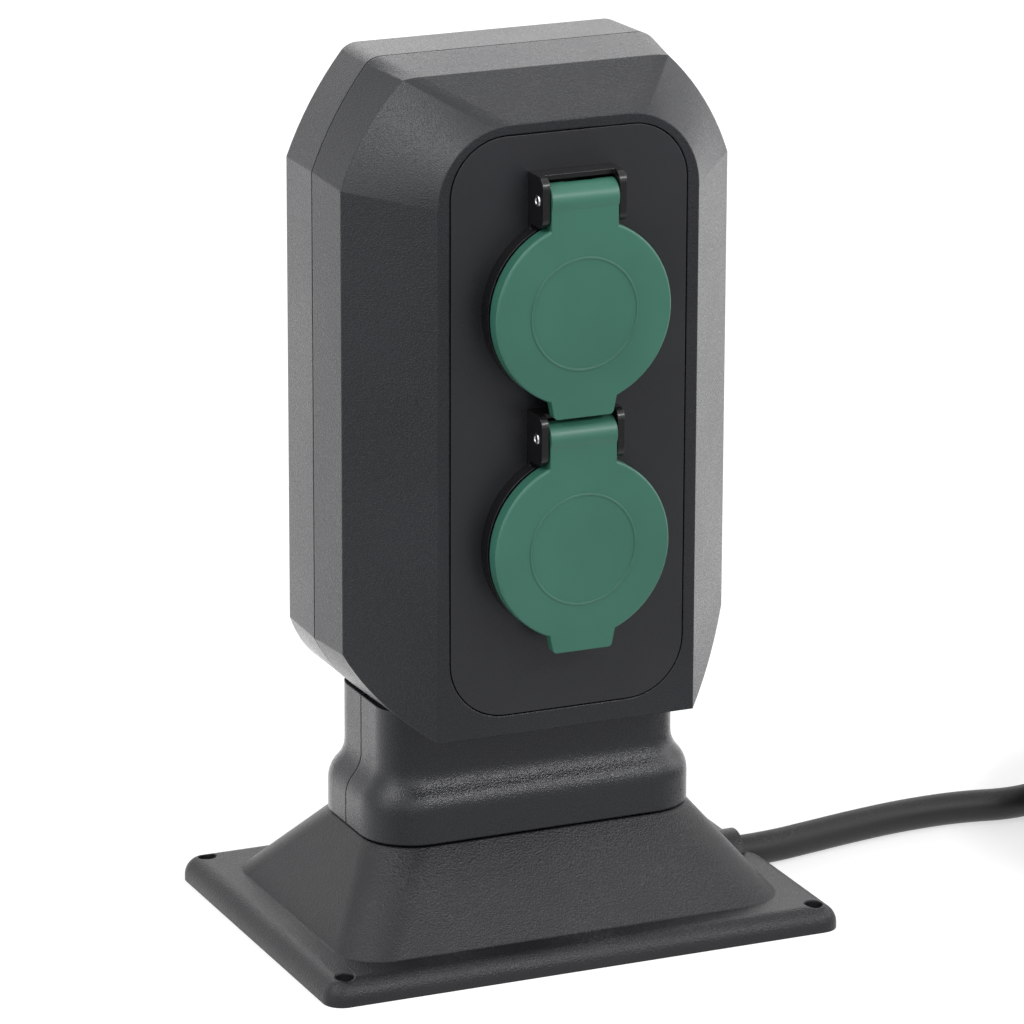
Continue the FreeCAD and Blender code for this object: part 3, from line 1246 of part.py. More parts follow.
def plug():
    """Straight rubber plug with a ribbed strain relief and two round pins, lying beside the coil."""
    end, way = plug_axis()
    heading = Rotation(Vector(1, 0, 0), way)

    def along(own, distance, aside=0):
        own.Placement = Placement(end + way * plain(distance) + Vector(plain(aside), 0, 0), heading)
        return own

    own = body("plug_relief")
    start, finish, length = s.cable_diameter / 2 + 0.9, s.relief_diameter / 2, s.relief_length
    points = [(0, 0), (length, 0), (length, finish)]
    ribs = 5
    for k in range(ribs, 0, -1):
        wide = start + (finish - start) * (k / ribs)
        points += [(length * ((k - 0.35) / ribs), wide), (length * ((k - 0.4) / ribs), wide - 0.8),
                   (length * ((k - 0.75) / ribs), wide - 0.8), (length * ((k - 0.8) / ribs), wide)]
    points.append((0, start))
    turned("plug_relief_form", own, "front", "H_Axis", points)
    along(own, 0)
    own = body("plug_body")
    rear, waist, face = s.plug_rear / 2, s.plug_waist / 2, s.plug_face / 2
    long, flange = s.plug_length, s.plug_face_length
    turned("plug_body_form", own, "front", "H_Axis", [
        (0, 0), (long, 0), (long, face, 1), (long - flange, face, 2), (long - flange * 1.6, waist, 4),
        (long * 0.3, waist, 8), (0, rear, 1.5)])
    along(own, length)
    radius = s.plug_pin / 2
    pins = []
    for k, side in enumerate((-1, 1)):
        own = doc.addObject("PartDesign::Body", f"plug_pin_{k}")
        turned(f"plug_pin_form_{k}", own, "front", "H_Axis", [
            (0, 0), (s.plug_pin_length, 0), (s.plug_pin_length, radius, radius * 0.8), (0, radius)])
        pins.append(along(own, length + long, side * s.pin_pitch / 2))
    node("plug_pins", feature("Part::Compound", "plug_pins", Links=pins))


for build in (column_shells, base_plate, front_panel, joint_seal, earth_bar, terminal_block, cable_clamp,
              screws, inner_leads, free_cord, cord_tie, plug):
    build()
for level, height in (("upper", s.upper_socket_height), ("lower", s.lower_socket_height)):
    socket_body(f"socket_body_{level}", height)
    contact_cover(f"contact_cover_{level}", height)
    retaining_ring(f"retaining_ring_{level}", height)
    earth_clip(f"earth_clip_{level}", height)
    lid(f"lid_{level}", height)
    lid_seal(f"lid_seal_{level}", height)
    hinge_pin(f"hinge_pin_{level}", height)
    hinge_spring(f"hinge_spring_{level}", height)
contact_bar("live_bar", 1)
contact_bar("neutral_bar", -1)
doc.recompute()

for thing in doc.Objects:
    if "Invalid" in thing.State or "Error" in thing.State:
        raise RuntimeError(f"{thing.Name} failed: {thing.State}")
for name, thing in NODES.items():
    if thing.Shape.isNull() or not thing.Shape.isValid() or not thing.Shape.Solids:
        raise RuntimeError(f"{name} has no valid solid")
for name, thing in NODES.items():
    thing.Shape.exportStep(f"parts/{name}.step")
print(f"{len(NODES)} parts written")
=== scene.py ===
import math

import bmesh
import bpy
from mathutils import Matrix, Vector


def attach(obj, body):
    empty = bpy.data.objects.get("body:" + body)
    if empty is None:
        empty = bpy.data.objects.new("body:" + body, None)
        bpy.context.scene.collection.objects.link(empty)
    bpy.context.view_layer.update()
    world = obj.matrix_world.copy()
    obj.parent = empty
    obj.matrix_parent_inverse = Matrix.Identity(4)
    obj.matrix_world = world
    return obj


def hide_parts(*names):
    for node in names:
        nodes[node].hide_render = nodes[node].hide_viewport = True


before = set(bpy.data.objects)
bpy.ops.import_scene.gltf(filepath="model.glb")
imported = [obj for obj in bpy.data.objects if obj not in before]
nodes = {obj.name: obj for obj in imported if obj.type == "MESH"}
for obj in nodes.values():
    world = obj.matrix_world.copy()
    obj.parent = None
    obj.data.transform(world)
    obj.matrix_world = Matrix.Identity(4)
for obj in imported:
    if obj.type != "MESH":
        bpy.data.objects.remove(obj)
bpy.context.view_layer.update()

mm = 0.001   # cable, screws and pins are given in millimetres, the studio in metres


# node helpers

def feed(tree, socket, value):
    # link another node's socket, or set a plain number or colour
    if isinstance(value, bpy.types.NodeSocket):
        tree.links.new(value, socket)
    else:
        socket.default_value = value


def addNode(tree, kind, inputs=None, **settings):
    node = tree.nodes.new(kind)
    for key, value in settings.items():
        setattr(node, key, value)
    for key, value in (inputs or {}).items():
        feed(tree, node.inputs[key], value)
    return node


def mathNode(tree, operation, *values, clamp=False):
    inputs = dict(enumerate(values))
    return addNode(tree, "ShaderNodeMath", inputs, operation=operation, use_clamp=clamp).outputs[0]


def ramp(tree, value, low, high, toLow=0.0, toHigh=1.0):
    limits = {"From Min": low, "From Max": high, "To Min": toLow, "To Max": toHigh}
    node = addNode(tree, "ShaderNodeMapRange", {"Value": value, **limits},
                   interpolation_type="SMOOTHSTEP")
    return node.outputs["Result"]


def mixColour(tree, factor, first, second):
    # a mix of colours has its two colours at inputs 6 and 7, and puts out at 2
    node = addNode(tree, "ShaderNodeMix", {"Factor": factor, 6: first, 7: second}, data_type="RGBA")
    return node.outputs[2]


def noise(tree, place, scale, detail, roughness=0.5):
    inputs = {"Vector": place, "Scale": scale, "Detail": detail, "Roughness": roughness}
    return addNode(tree, "ShaderNodeTexNoise", inputs).outputs["Fac"]


def ownPlace(tree):
    return addNode(tree, "ShaderNodeTexCoord").outputs["Object"]


def surfaceNormal(tree):
    return addNode(tree, "ShaderNodeNewGeometry").outputs["Normal"]


def newGroup(name, inputs, outputs):
    # every input is a number; outputs are numbers too, apart from a normal
    tree = bpy.data.node_groups.new(name, "ShaderNodeTree")
    number, vector = "NodeSocketFloat", "NodeSocketVector"
    for label, value in inputs.items():
        socket = tree.interface.new_socket(name=label, in_out="INPUT", socket_type=number)
        socket.default_value = value
    for label in outputs:
        kind = vector if label == "Normal" else number
        tree.interface.new_socket(name=label, in_out="OUTPUT", socket_type=kind)
    return tree, tree.nodes.new("NodeGroupInput").outputs, tree.nodes.new("NodeGroupOutput").inputs


def useGroup(tree, name, **inputs):
    return addNode(tree, "ShaderNodeGroup", inputs, node_tree=bpy.data.node_groups[name]).outputs


# shared effects, all in the object's own metres; a material sets their size and strength

effects = {
    "grain": {"size": 0.0006, "detail": 2.0, "roughness": 0.6, "finer": 1.3, "finerShare": 0.5,
              "speck": (0.5, 0.72)},
    # edge: rubbed wear and a painted highlight, both lighter along rounded edges
    "edge": {"width": 0.0008, "breakup": 0.5, "samples": 6, "turn": (0.995, 0.86),
             "scale": 90.0, "detail": 4.0, "roughness": 0.65, "patchyFrom": 0.85},
    "dust": {"amount": 0.3, "facingUp": (0.35, 0.95),
             "cloudScale": 38.0, "cloudDetail": 5.0, "cloudRoughness": 0.7, "cloud": (0.38, 0.75),
             "speckScale": 1400.0, "speckDetail": 1.0, "speck": (0.42, 0.7)},
    "lines": {"amount": 0.4, "detail": 1.0, "line": (0.74, 0.8),
              "turns": ((0.3, 0.5, 0.9), (0.8, -0.4, -0.6)),
              "stretches": ((26.0, 1800.0, 1800.0), (1500.0, 32.0, 1500.0)),
              "patchScale": 22.0, "patchDetail": 2.0, "patch": (0.48, 0.66)},
    "drift": {"scale": 18.0, "detail": 3.0, "roughness": 0.55, "tone": (0.3, 0.7)},
}


def buildGrain(look):
    # spark-eroded mould grain: rounded pits of one size with a finer one over them
    tree, given, put = newGroup("mouldGrain", {"Size": look["size"]}, ("Height", "Speck"))
    place = ownPlace(tree)
    scale = mathNode(tree, "DIVIDE", 1.0, given["Size"])
    coarse = noise(tree, place, scale, look["detail"], look["roughness"])
    finer = mathNode(tree, "MULTIPLY", scale, look["finer"])
    pits = addNode(tree, "ShaderNodeTexVoronoi", {"Vector": place, "Scale": finer})
    height = mathNode(tree, "MULTIPLY_ADD", pits.outputs["Distance"], look["finerShare"], coarse)
    feed(tree, put["Height"], height)
    feed(tree, put["Speck"], ramp(tree, coarse, *look["speck"]))


def buildEdge(look):
    # where a moulding's edges are rubbed and carry a painted highlight, broken up so that no edge is
    # even
    tree, given, put = newGroup("rubbedEdgeAndHighlight", {"Width": look["width"], "Breakup": look["breakup"]},
                                ("Mask", "Normal"))
    rounded = addNode(tree, "ShaderNodeBevel", {"Radius": given["Width"]}, samples=look["samples"])
    turn = addNode(tree, "ShaderNodeVectorMath", {0: rounded.outputs[0], 1: surfaceNormal(tree)},
                   operation="DOT_PRODUCT").outputs["Value"]
    patch = noise(tree, ownPlace(tree), look["scale"], look["detail"], look["roughness"])
    patchy = ramp(tree, patch, given["Breakup"], look["patchyFrom"])
    feed(tree, put["Mask"], mathNode(tree, "MULTIPLY", ramp(tree, turn, *look["turn"]), patchy))
    feed(tree, put["Normal"], rounded.outputs[0])


def buildDust(look):
    # dust settled on what faces up, thicker in patches
    tree, given, put = newGroup("settledDust", {"Amount": look["amount"]}, ("Mask",))
    place = ownPlace(tree)
    facing = addNode(tree, "ShaderNodeSeparateXYZ", {0: surfaceNormal(tree)})
    up = ramp(tree, facing.outputs["Z"], *look["facingUp"])
    cloud = noise(tree, place, look["cloudScale"], look["cloudDetail"], look["cloudRoughness"])
    specks = noise(tree, place, look["speckScale"], look["speckDetail"])
    grainy = mathNode(tree, "MULTIPLY", ramp(tree, cloud, *look["cloud"]),
                      ramp(tree, specks, *look["speck"]))
    settled = mathNode(tree, "MULTIPLY", grainy, up)
    feed(tree, put["Mask"], mathNode(tree, "MULTIPLY", settled, given["Amount"]))


def buildLines(look):
    # hairline marks from handling, in two directions
    tree, given, put = newGroup("hairlines", {"Amount": look["amount"]}, ("Mask",))
    place = ownPlace(tree)
    sets = []
    for angles, stretch in zip(look["turns"], look["stretches"]):
        turned = addNode(tree, "ShaderNodeMapping",
                         {"Vector": place, "Rotation": angles, "Scale": stretch})
        sets.append(ramp(tree, noise(tree, turned.outputs[0], 1.0, look["detail"]), *look["line"]))
    patch = ramp(tree, noise(tree, place, look["patchScale"], look["patchDetail"]), *look["patch"])
    kept = mathNode(tree, "MULTIPLY", mathNode(tree, "MAXIMUM", *sets), patch)
    feed(tree, put["Mask"], mathNode(tree, "MULTIPLY", kept, given["Amount"]))


def buildDrift(look):
    # slow drift of tone over a moulding, as flow and cooling leave it
    tree, given, put = newGroup("toneDrift", {"Scale": look["scale"]}, ("Tone",))
    drift = noise(tree, ownPlace(tree), given["Scale"], look["detail"], look["roughness"])
    feed(tree, put["Tone"], ramp(tree, drift, *look["tone"]))


buildGrain(effects["grain"])
buildEdge(effects["edge"])
buildDust(effects["dust"])
buildLines(effects["lines"])
buildDrift(effects["drift"])
print("shared effects:", len(effects))


# materials

def newMaterial(name):
    material = bpy.data.materials.new(name)
    material.use_nodes = True
    material.node_tree.nodes.clear()
    return material, material.node_tree


def closeMaterial(tree, inputs):
    surface = addNode(tree, "ShaderNodeBsdfPrincipled", inputs)
    addNode(tree, "ShaderNodeOutputMaterial", {"Surface": surface.outputs[0]})


def shade(colour, gain, lift=0.0):
    return tuple(min(1.0, channel * gain + lift) for channel in colour) + (1.0,)


# moulded plastics and rubbers: colour, gloss, grain, wear with a painted edge highlight, and dust,
# each with its own values
mouldings = {
    "shellPlastic": {"colour": (0.0115, 0.0130, 0.0160), "rough": 0.31, "ior": 1.46,
                     "grain": 0.0005, "depth": 0.00010,
                     "edge": 0.0006, "rubAndHighlight": 0.35, "dust": 0.05, "lines": 0.25},
    "panelPlastic": {"colour": (0.0115, 0.0125, 0.0155), "rough": 0.40,
                     "grain": 0.00035, "depth": 0.00002,
                     "edge": 0.0003, "rubAndHighlight": 0.3, "dust": 0.05, "lines": 0.3},
    "socketPlastic": {"colour": (0.0060, 0.0062, 0.0070), "rough": 0.24,
                      "grain": 0.0004, "depth": 0.000012,
                      "edge": 0.0003, "rubAndHighlight": 0.3, "dust": 0.05, "lines": 0.2},
    "basePlastic": {"colour": (0.0095, 0.0100, 0.0120), "rough": 0.42, "ior": 1.42,
                    "grain": 0.0006, "depth": 0.00014,
                    "edge": 0.0008, "rubAndHighlight": 0.5, "dust": 0.10, "lines": 0.25},
    "lidPlastic": {"colour": (0.032, 0.139, 0.096), "rough": 0.42,
                   "grain": 0.00035, "depth": 0.00001,
                   "edge": 0.0004, "rubAndHighlight": 0.35, "dust": 0.06, "lines": 0.35},
    "softRubber": {"colour": (0.012, 0.012, 0.013), "rough": 0.62,
                   "grain": 0.0005, "depth": 0.00002,
                   "edge": 0.0002, "rubAndHighlight": 0.3, "dust": 0.12, "lines": 0.1},
    "sealRubber": {"colour": (0.0035, 0.0035, 0.0038), "rough": 0.8, "ior": 1.3,
                   "grain": 0.0005, "depth": 0.00001,
                   "edge": 0.0001, "rubAndHighlight": 0.1, "dust": 0.02, "lines": 0.05},
    "cordRubber": {"colour": (0.0120, 0.0122, 0.0135), "rough": 0.55, "ior": 1.42,
                   "grain": 0.0007, "depth": 0.00003,
                   "edge": 0.0002, "rubAndHighlight": 0.2, "dust": 0.10, "lines": 0.3},
    "blockPlastic": {"colour": (0.62, 0.60, 0.54), "rough": 0.45,
                     "grain": 0.0005, "depth": 0.00001,
                     "edge": 0.0003, "rubAndHighlight": 0.2, "dust": 0.1, "lines": 0.2},
    "liveSleeve": {"colour": (0.16, 0.055, 0.02), "rough": 0.4,
                   "grain": 0.0004, "depth": 0.00001,
                   "edge": 0.0001, "rubAndHighlight": 0.1, "dust": 0.1, "lines": 0.2},
    "neutralSleeve": {"colour": (0.02, 0.09, 0.32), "rough": 0.4,
                      "grain": 0.0004, "depth": 0.00001,
                      "edge": 0.0001, "rubAndHighlight": 0.1, "dust": 0.1, "lines": 0.2},
}

# what drift of tone, rubbing with a painted edge highlight, hairlines, dust and grain do to a
# moulding's colour and gloss
wearAndHighlight = {
    "driftScale": 16.0, "darker": 0.9, "lighter": 1.12, "glossDrift": 0.07, "speckGloss": -0.12,
    "breakup": 0.42, "rubAndHighlightGain": 1.6, "rubAndHighlightLift": 0.05,
    "lineShare": 0.35, "lineGain": 1.4, "lineLift": 0.04, "lineGloss": 0.12,
    "dustColour": (0.42, 0.40, 0.37, 1.0), "dustGloss": 0.5,
}


def mouldedMaterial(name, colour, rough, grain, depth, edge, rubAndHighlight, dust, lines, ior=1.5):
    material, tree = newMaterial(name)
    tone = useGroup(tree, "toneDrift", Scale=wearAndHighlight["driftScale"])["Tone"]
    grains = useGroup(tree, "mouldGrain", Size=grain)
    edges = useGroup(tree, "rubbedEdgeAndHighlight", Width=edge, Breakup=wearAndHighlight["breakup"])
    dustMask = useGroup(tree, "settledDust", Amount=dust)["Mask"]
    lineMask = useGroup(tree, "hairlines", Amount=lines)["Mask"]

    base = mixColour(tree, tone, shade(colour, wearAndHighlight["darker"]), shade(colour, wearAndHighlight["lighter"]))
    # lighter along the edges: rubbed wear and a painted edge highlight
    rubbedAndHighlit = mathNode(tree, "MULTIPLY", edges["Mask"], rubAndHighlight)
    base = mixColour(tree, rubbedAndHighlit, base, shade(colour, wearAndHighlight["rubAndHighlightGain"], wearAndHighlight["rubAndHighlightLift"]))
    marked = mathNode(tree, "MULTIPLY", lineMask, wearAndHighlight["lineShare"])
    base = mixColour(tree, marked, base, shade(colour, wearAndHighlight["lineGain"], wearAndHighlight["lineLift"]))
    base = mixColour(tree, dustMask, base, wearAndHighlight["dustColour"])

    gloss = mathNode(tree, "MULTIPLY_ADD", tone, wearAndHighlight["glossDrift"], rough - wearAndHighlight["glossDrift"] / 2)
    gloss = mathNode(tree, "MULTIPLY_ADD", grains["Speck"], wearAndHighlight["speckGloss"], gloss)
    gloss = mathNode(tree, "MULTIPLY_ADD", dustMask, wearAndHighlight["dustGloss"], gloss)
    gloss = mathNode(tree, "MULTIPLY_ADD", lineMask, wearAndHighlight["lineGloss"], gloss, clamp=True)

    bump = addNode(tree, "ShaderNodeBump", {"Strength": 1.0, "Distance": depth,
                                            "Height": grains["Height"], "Normal": edges["Normal"]})
    closeMaterial(tree, {"Base Color": base, "Roughness": gloss, "IOR": ior,
                         "Normal": bump.outputs["Normal"]})
    return material


metals = {
    "turnedSteel": {"colour": (0.56, 0.56, 0.57), "rough": 0.3},
    "polishedSteel": {"colour": (0.80, 0.80, 0.81), "rough": 0.12},
    "pressedBrass": {"colour": (0.78, 0.58, 0.27), "rough": 0.28},
}

# drift of tone, hairlines and fine grain, the same on every metal
metalWear = {
    "driftScale": 260.0, "darker": 0.72, "lighter": 1.08, "glossDrift": -0.1, "glossLift": 0.08,
    "lines": 0.8, "lineGloss": 0.15, "grain": 0.0003, "depth": 0.000006,
}


def metalMaterial(name, colour, rough):
    material, tree = newMaterial(name)
    tone = useGroup(tree, "toneDrift", Scale=metalWear["driftScale"])["Tone"]
    lineMask = useGroup(tree, "hairlines", Amount=metalWear["lines"])["Mask"]
    grains = useGroup(tree, "mouldGrain", Size=metalWear["grain"])
    dark, light = shade(colour, metalWear["darker"]), shade(colour, metalWear["lighter"])
    base = mixColour(tree, tone, dark, light)
    lifted = rough + metalWear["glossLift"]
    gloss = mathNode(tree, "MULTIPLY_ADD", tone, metalWear["glossDrift"], lifted)
    gloss = mathNode(tree, "MULTIPLY_ADD", lineMask, metalWear["lineGloss"], gloss, clamp=True)
    bump = addNode(tree, "ShaderNodeBump", {"Strength": 1.0, "Distance": metalWear["depth"],
                                            "Height": grains["Height"]})
    closeMaterial(tree, {"Base Color": base, "Metallic": 1.0, "Roughness": gloss,
                         "Normal": bump.outputs["Normal"]})
    return material


# the earth core's sleeve: green and yellow stripes
earthSleeve = {
    "green": (0.03, 0.22, 0.05, 1), "yellow": (0.75, 0.6, 0.03, 1),
    "stripeScale": 90.0, "distortion": 0.4, "stripe": (0.45, 0.55),
    "driftScale": 120.0, "glossDrift": 0.1, "rough": 0.36,
}


def earthMaterial():
    material, tree = newMaterial("earthSleeve")
    waves = addNode(tree, "ShaderNodeTexWave", {
        "Vector": ownPlace(tree), "Scale": earthSleeve["stripeScale"],
        "Distortion": earthSleeve["distortion"]})
    stripe = ramp(tree, waves.outputs["Fac"], *earthSleeve["stripe"])
    base = mixColour(tree, stripe, earthSleeve["green"], earthSleeve["yellow"])
    tone = useGroup(tree, "toneDrift", Scale=earthSleeve["driftScale"])["Tone"]
    gloss = mathNode(tree, "MULTIPLY_ADD", tone, earthSleeve["glossDrift"], earthSleeve["rough"])
    closeMaterial(tree, {"Base Color": base, "Roughness": gloss})
    return material


finishes = {name: mouldedMaterial(name, **values) for name, values in mouldings.items()}
finishes.update({name: metalMaterial(name, **values) for name, values in metals.items()})
finishes["earthSleeve"] = earthMaterial()
print("materials:", len(finishes))


# CAD nodes: right in shape, so they keep their meshes and get finishes

slotFinishes = {
    "shell_plastic": "shellPlastic", "panel_plastic": "panelPlastic",
    "socket_plastic": "socketPlastic", "lid_plastic": "lidPlastic",
    "block_plastic": "blockPlastic", "soft_rubber": "softRubber", "cord_rubber": "cordRubber",
    "steel": "turnedSteel", "brass": "pressedBrass",
    "live_insulation": "liveSleeve", "neutral_insulation": "neutralSleeve",
    "earth_insulation": "earthSleeve",
}

# nodes that look unlike the rest of their slot
ownFinishes = {"base_plate": "basePlastic", "joint_seal": "sealRubber"}


def finishNodes():
    for name, node in nodes.items():
        for place, old in enumerate(node.data.materials):
            slotName = old.name.split(".")[0]
            node.data.materials[place] = finishes[ownFinishes.get(name, slotFinishes[slotName])]


finishNodes()
print("CAD nodes finished:", len(nodes))


# objects, and meshes that stand for a CAD node on the column

def newObject(name, data):
    piece = bpy.data.objects.new(name, data)
    bpy.context.scene.collection.objects.link(piece)
    return piece


def joinRows(work, rows):
    # four-sided faces between neighbouring closed rows of corners
    for lower, upper in zip(rows, rows[1:]):
        for k in range(len(lower)):
            after = (k + 1) % len(lower)
            work.faces.new((lower[k], lower[after], upper[after], upper[k]))


def placeSteel(work, name, cadNode, finish, sharpAngle):
    bmesh.ops.recalc_face_normals(work, faces=work.faces)
    mesh = bpy.data.meshes.new(name)
    work.to_mesh(mesh)
    work.free()
    mesh.shade_smooth()
    mesh.set_sharp_from_angle(angle=math.radians(sharpAngle))
    mesh.materials.append(finishes[finish])
    piece = newObject(name, mesh)
    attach(piece, "column")
    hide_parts(cadNode)


# the cable: one line from the hood to the plug, on the part's route, its lead a little moved

cable = {
    "diameter": 9.2, "length": 1.43, "exit": (70, 0, 4.6),
    "lead": [(80, 0), (94, 2.8), (110, 6.1), (127, 8.6), (145, 8.8), (163, 4.6)],
    "coilStart": (199.9, 10.6), "coilAngle": 98.5, "coilMiddle": 92.0, "turns": 3.864,
    "pitch": 10.0, "layerLow": 5.8, "turnBack": 0.25, "climbOver": 0.5,
    "turnPoints": 24, "endStep": 0.001,
    "tail": [(185.8, 23.7, 14.2), (203.1, 43.2, 10.8), (223.2, 51.9, 8.2), (245.1, 51.4, 6.4),
             (264.7, 41.7, 5.4), (278.4, 24.6, 4.9), (283.7, 3.3, 4.8)],
    "plugStart": (283.7, -20.7, 7.57), "plugTilt": 10.84,
    "intoCoil": 12.0, "outOfCoil": 19.0, "intoPlug": 12.0,
    "lineSteps": 8, "roundSteps": 8,
}


def coilPoint(turn):
    # inward on the floor, up over half a turn at the middle, and outward on top
    turnBack, pitch = cable["turnBack"], cable["pitch"]
    middle = cable["turns"] / 2
    past = turn - middle
    inward = middle - abs(past)
    if abs(past) < turnBack:
        inward = middle - turnBack / 2 - past ** 2 / (2 * turnBack)
    climb = min(1, max(0, past / cable["climbOver"] + 0.5))
    outer = cable["coilMiddle"] / 2 + pitch * (middle - turnBack / 2) / 2
    radius = outer - pitch * inward
    start = math.radians(cable["coilAngle"])
    angle = start - 2 * math.pi * turn
    height = cable["layerLow"] + pitch * climb * climb * (3 - 2 * climb)
    startX, startY = cable["coilStart"]
    return Vector((startX - outer * math.cos(start) + radius * math.cos(angle),
                   startY - outer * math.sin(start) + radius * math.sin(angle), height))


def cableRoute():
    floor, turns, endStep = cable["diameter"] / 2, cable["turns"], cable["endStep"]
    first, last = coilPoint(0), coilPoint(turns)
    wayIn = (coilPoint(endStep) - first).normalized()
    wayOut = (last - coilPoint(turns - endStep)).normalized()
    start, end = first - wayIn * cable["diameter"], last + wayOut * cable["diameter"]
    tilt = math.radians(cable["plugTilt"])
    plugWay = Vector((0, -math.cos(tilt), math.sin(tilt)))
    plugEnd = Vector(cable["plugStart"])
    points = [Vector(cable["exit"])] + [Vector((x, y, floor)) for x, y in cable["lead"]]
    points += [start - wayIn * cable["intoCoil"], start]
    count = round(turns * cable["turnPoints"])
    points += [coilPoint(turns * k / count) for k in range(count + 1)]
    points += [end, end + wayOut * cable["outOfCoil"]]
    points += [Vector(point) for point in cable["tail"]]
    points += [plugEnd - plugWay * cable["intoPlug"], plugEnd]
    return points


def buildCable():
    curve = bpy.data.curves.new("mainsCable", "CURVE")
    curve.dimensions = "3D"
    route = cableRoute()
    spline = curve.splines.new("NURBS")
    spline.points.add(len(route) - 1)
    for controlPoint, place in zip(spline.points, route):
        controlPoint.co = (*(place * mm), 1.0)
    spline.order_u = 3
    spline.use_endpoint_u = True
    spline.resolution_u = cable["lineSteps"]
    curve.bevel_depth = cable["diameter"] / 2 * mm
    curve.bevel_resolution = cable["roundSteps"]
    curve.use_fill_caps = True
    curve.materials.append(finishes["cordRubber"])
    piece = newObject("mainsCable", curve)
    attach(piece, "column")
    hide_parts("power_cord", "cord_coil", "cord_tail")


buildCable()
print("cable laid")


# housing and neck screws: pan heads with a cross recess, heads to the back

screws = {
    "head": 6.4, "shank": 3.4, "rise": 2.2, "roundOver": 1.32, "tipShare": 1 / 3,
    "crossSpan": 3.7, "crossWidth": 0.95, "crossDepth": 1.35, "crossWall": 0.16, "crossEnds": 1.6,
    "steps": 120, "faceRings": 22, "roundSteps": 6, "turnBetween": 37.0, "sharpAngle": 38.0,
    "sets": {
        "housing_screws": {"name": "housingScrews", "x": 45.5, "seat": 20.0,
                           "heights": (95.0, 149.0, 203.0), "length": 34.0},
        "neck_screws": {"name": "neckScrews", "x": 25.0, "seat": 20.4,
                        "heights": (53.5,), "length": 5.9},
    },
}


def recess(across, along):
    # how deep the driver cross is at a place on the head
    halfWidth, halfSpan = screws["crossWidth"] / 2, screws["crossSpan"] / 2
    deepest = 0.0
    for run, side in ((abs(across), abs(along)), (abs(along), abs(across))):
        wall = min(1.0, max(0.0, (halfWidth - side) / screws["crossWall"] + 0.5))
        end = min(1.0, max(0.0, (halfSpan - run) / halfSpan))
        deepest = max(deepest, wall * screws["crossDepth"] * min(1.0, end * screws["crossEnds"]))
    return deepest


def screwRings(length):
    # radius and height of each ring, from the tip over the shank and the head to its middle
    head, shank = screws["head"] / 2, screws["shank"] / 2
    rise, roundOver, faceRings = screws["rise"], screws["roundOver"], screws["faceRings"]
    tip = shank * screws["tipShare"]
    rings = [(tip, -length), (shank, shank - length), (shank, 0.0), (head, 0.0)]
    for k in range(screws["roundSteps"] + 1):
        bend = math.pi / 2 * k / screws["roundSteps"]
        rings.append((head - roundOver * (1 - math.cos(bend)),
                      rise - roundOver * (1 - math.sin(bend))))
    inner = head - roundOver
    return rings + [(inner * (1 - k / faceRings), rise) for k in range(1, faceRings)]


def addScrew(work, place, length, turn):
    rows = []
    for radius, height in screwRings(length):
        row = []
        for k in range(screws["steps"]):
            angle = 2 * math.pi * k / screws["steps"]
            sink = recess(radius * math.cos(angle), radius * math.sin(angle)) if height > 0 else 0.0
            corner = Vector((radius * math.cos(angle + turn), height - sink,
                             radius * math.sin(angle + turn)))
            row.append(work.verts.new(place + mm * corner))
        rows.append(row)
    joinRows(work, rows)
    for row, height in ((rows[0], -length), (rows[-1], screws["rise"] - screws["crossDepth"])):
        middle = work.verts.new(place + mm * Vector((0, height, 0)))
        for k in range(len(row)):
            work.faces.new((row[k], row[(k + 1) % len(row)], middle))


def buildScrews(cadNode, name, x, seat, heights, length):
    work = bmesh.new()
    spots = [(side * x, z) for side in (-1, 1) for z in heights]
    for count, (across, up) in enumerate(spots):
        turn = math.radians(screws["turnBetween"] * count)
        addScrew(work, mm * Vector((across, seat, up)), length, turn)
    placeSteel(work, name, cadNode, "turnedSteel", screws["sharpAngle"])


for cadNode, values in screws["sets"].items():
    buildScrews(cadNode, **values)
print("screws:", len(screws["sets"]), "sets")


# hinge pins: hollow, with a rolled and polished lip at each end

pins = {
    "outer": 3.2, "bore": 1.6, "half": 12.3, "lip": 0.36, "mouth": 0.9, "y": -45.3,
    "steps": 64, "lipSteps": 8, "sharpAngle": 50.0,
    "sets": {
        "hinge_pin_upper": {"name": "hingePinUpper", "height": 212.0},
        "hinge_pin_lower": {"name": "hingePinLower", "height": 147.4},
    },
}


def pinProfile():
    # round the right end's lip from the outside into the bore, then the same at the left end
    outer, bore, half, lip = pins["outer"] / 2, pins["bore"] / 2, pins["half"], pins["lip"]
    bends = [math.pi / 2 * k / pins["lipSteps"] for k in range(pins["lipSteps"] + 1)]
    end = [(half - lip * (1 - math.sin(bend)), outer - lip * (1 - math.cos(bend)))
           for bend in bends]
    end += [(half - lip * (1 - math.cos(bend)), bore + lip * (1 - math.sin(bend)))
            for bend in bends[1:]]
    end.append((half - lip - pins["mouth"], bore))
    return end + [(-along, radius) for along, radius in reversed(end)]


def buildPin(cadNode, name, height):
    work = bmesh.new()
    rows = []
    for k in range(pins["steps"]):
        angle = 2 * math.pi * k / pins["steps"]
        rows.append([work.verts.new(mm * Vector((along, pins["y"] + radius * math.cos(angle),
                                                 height + radius * math.sin(angle))))
                     for along, radius in pinProfile()])
    joinRows(work, rows + rows[:1])
    placeSteel(work, name, cadNode, "polishedSteel", pins["sharpAngle"])


for cadNode, values in pins["sets"].items():
    buildPin(cadNode, **values)
print("hinge pins:", len(pins["sets"]))


# plain studio: pale floor, soft light from above and both sides, camera at the photograph's angle

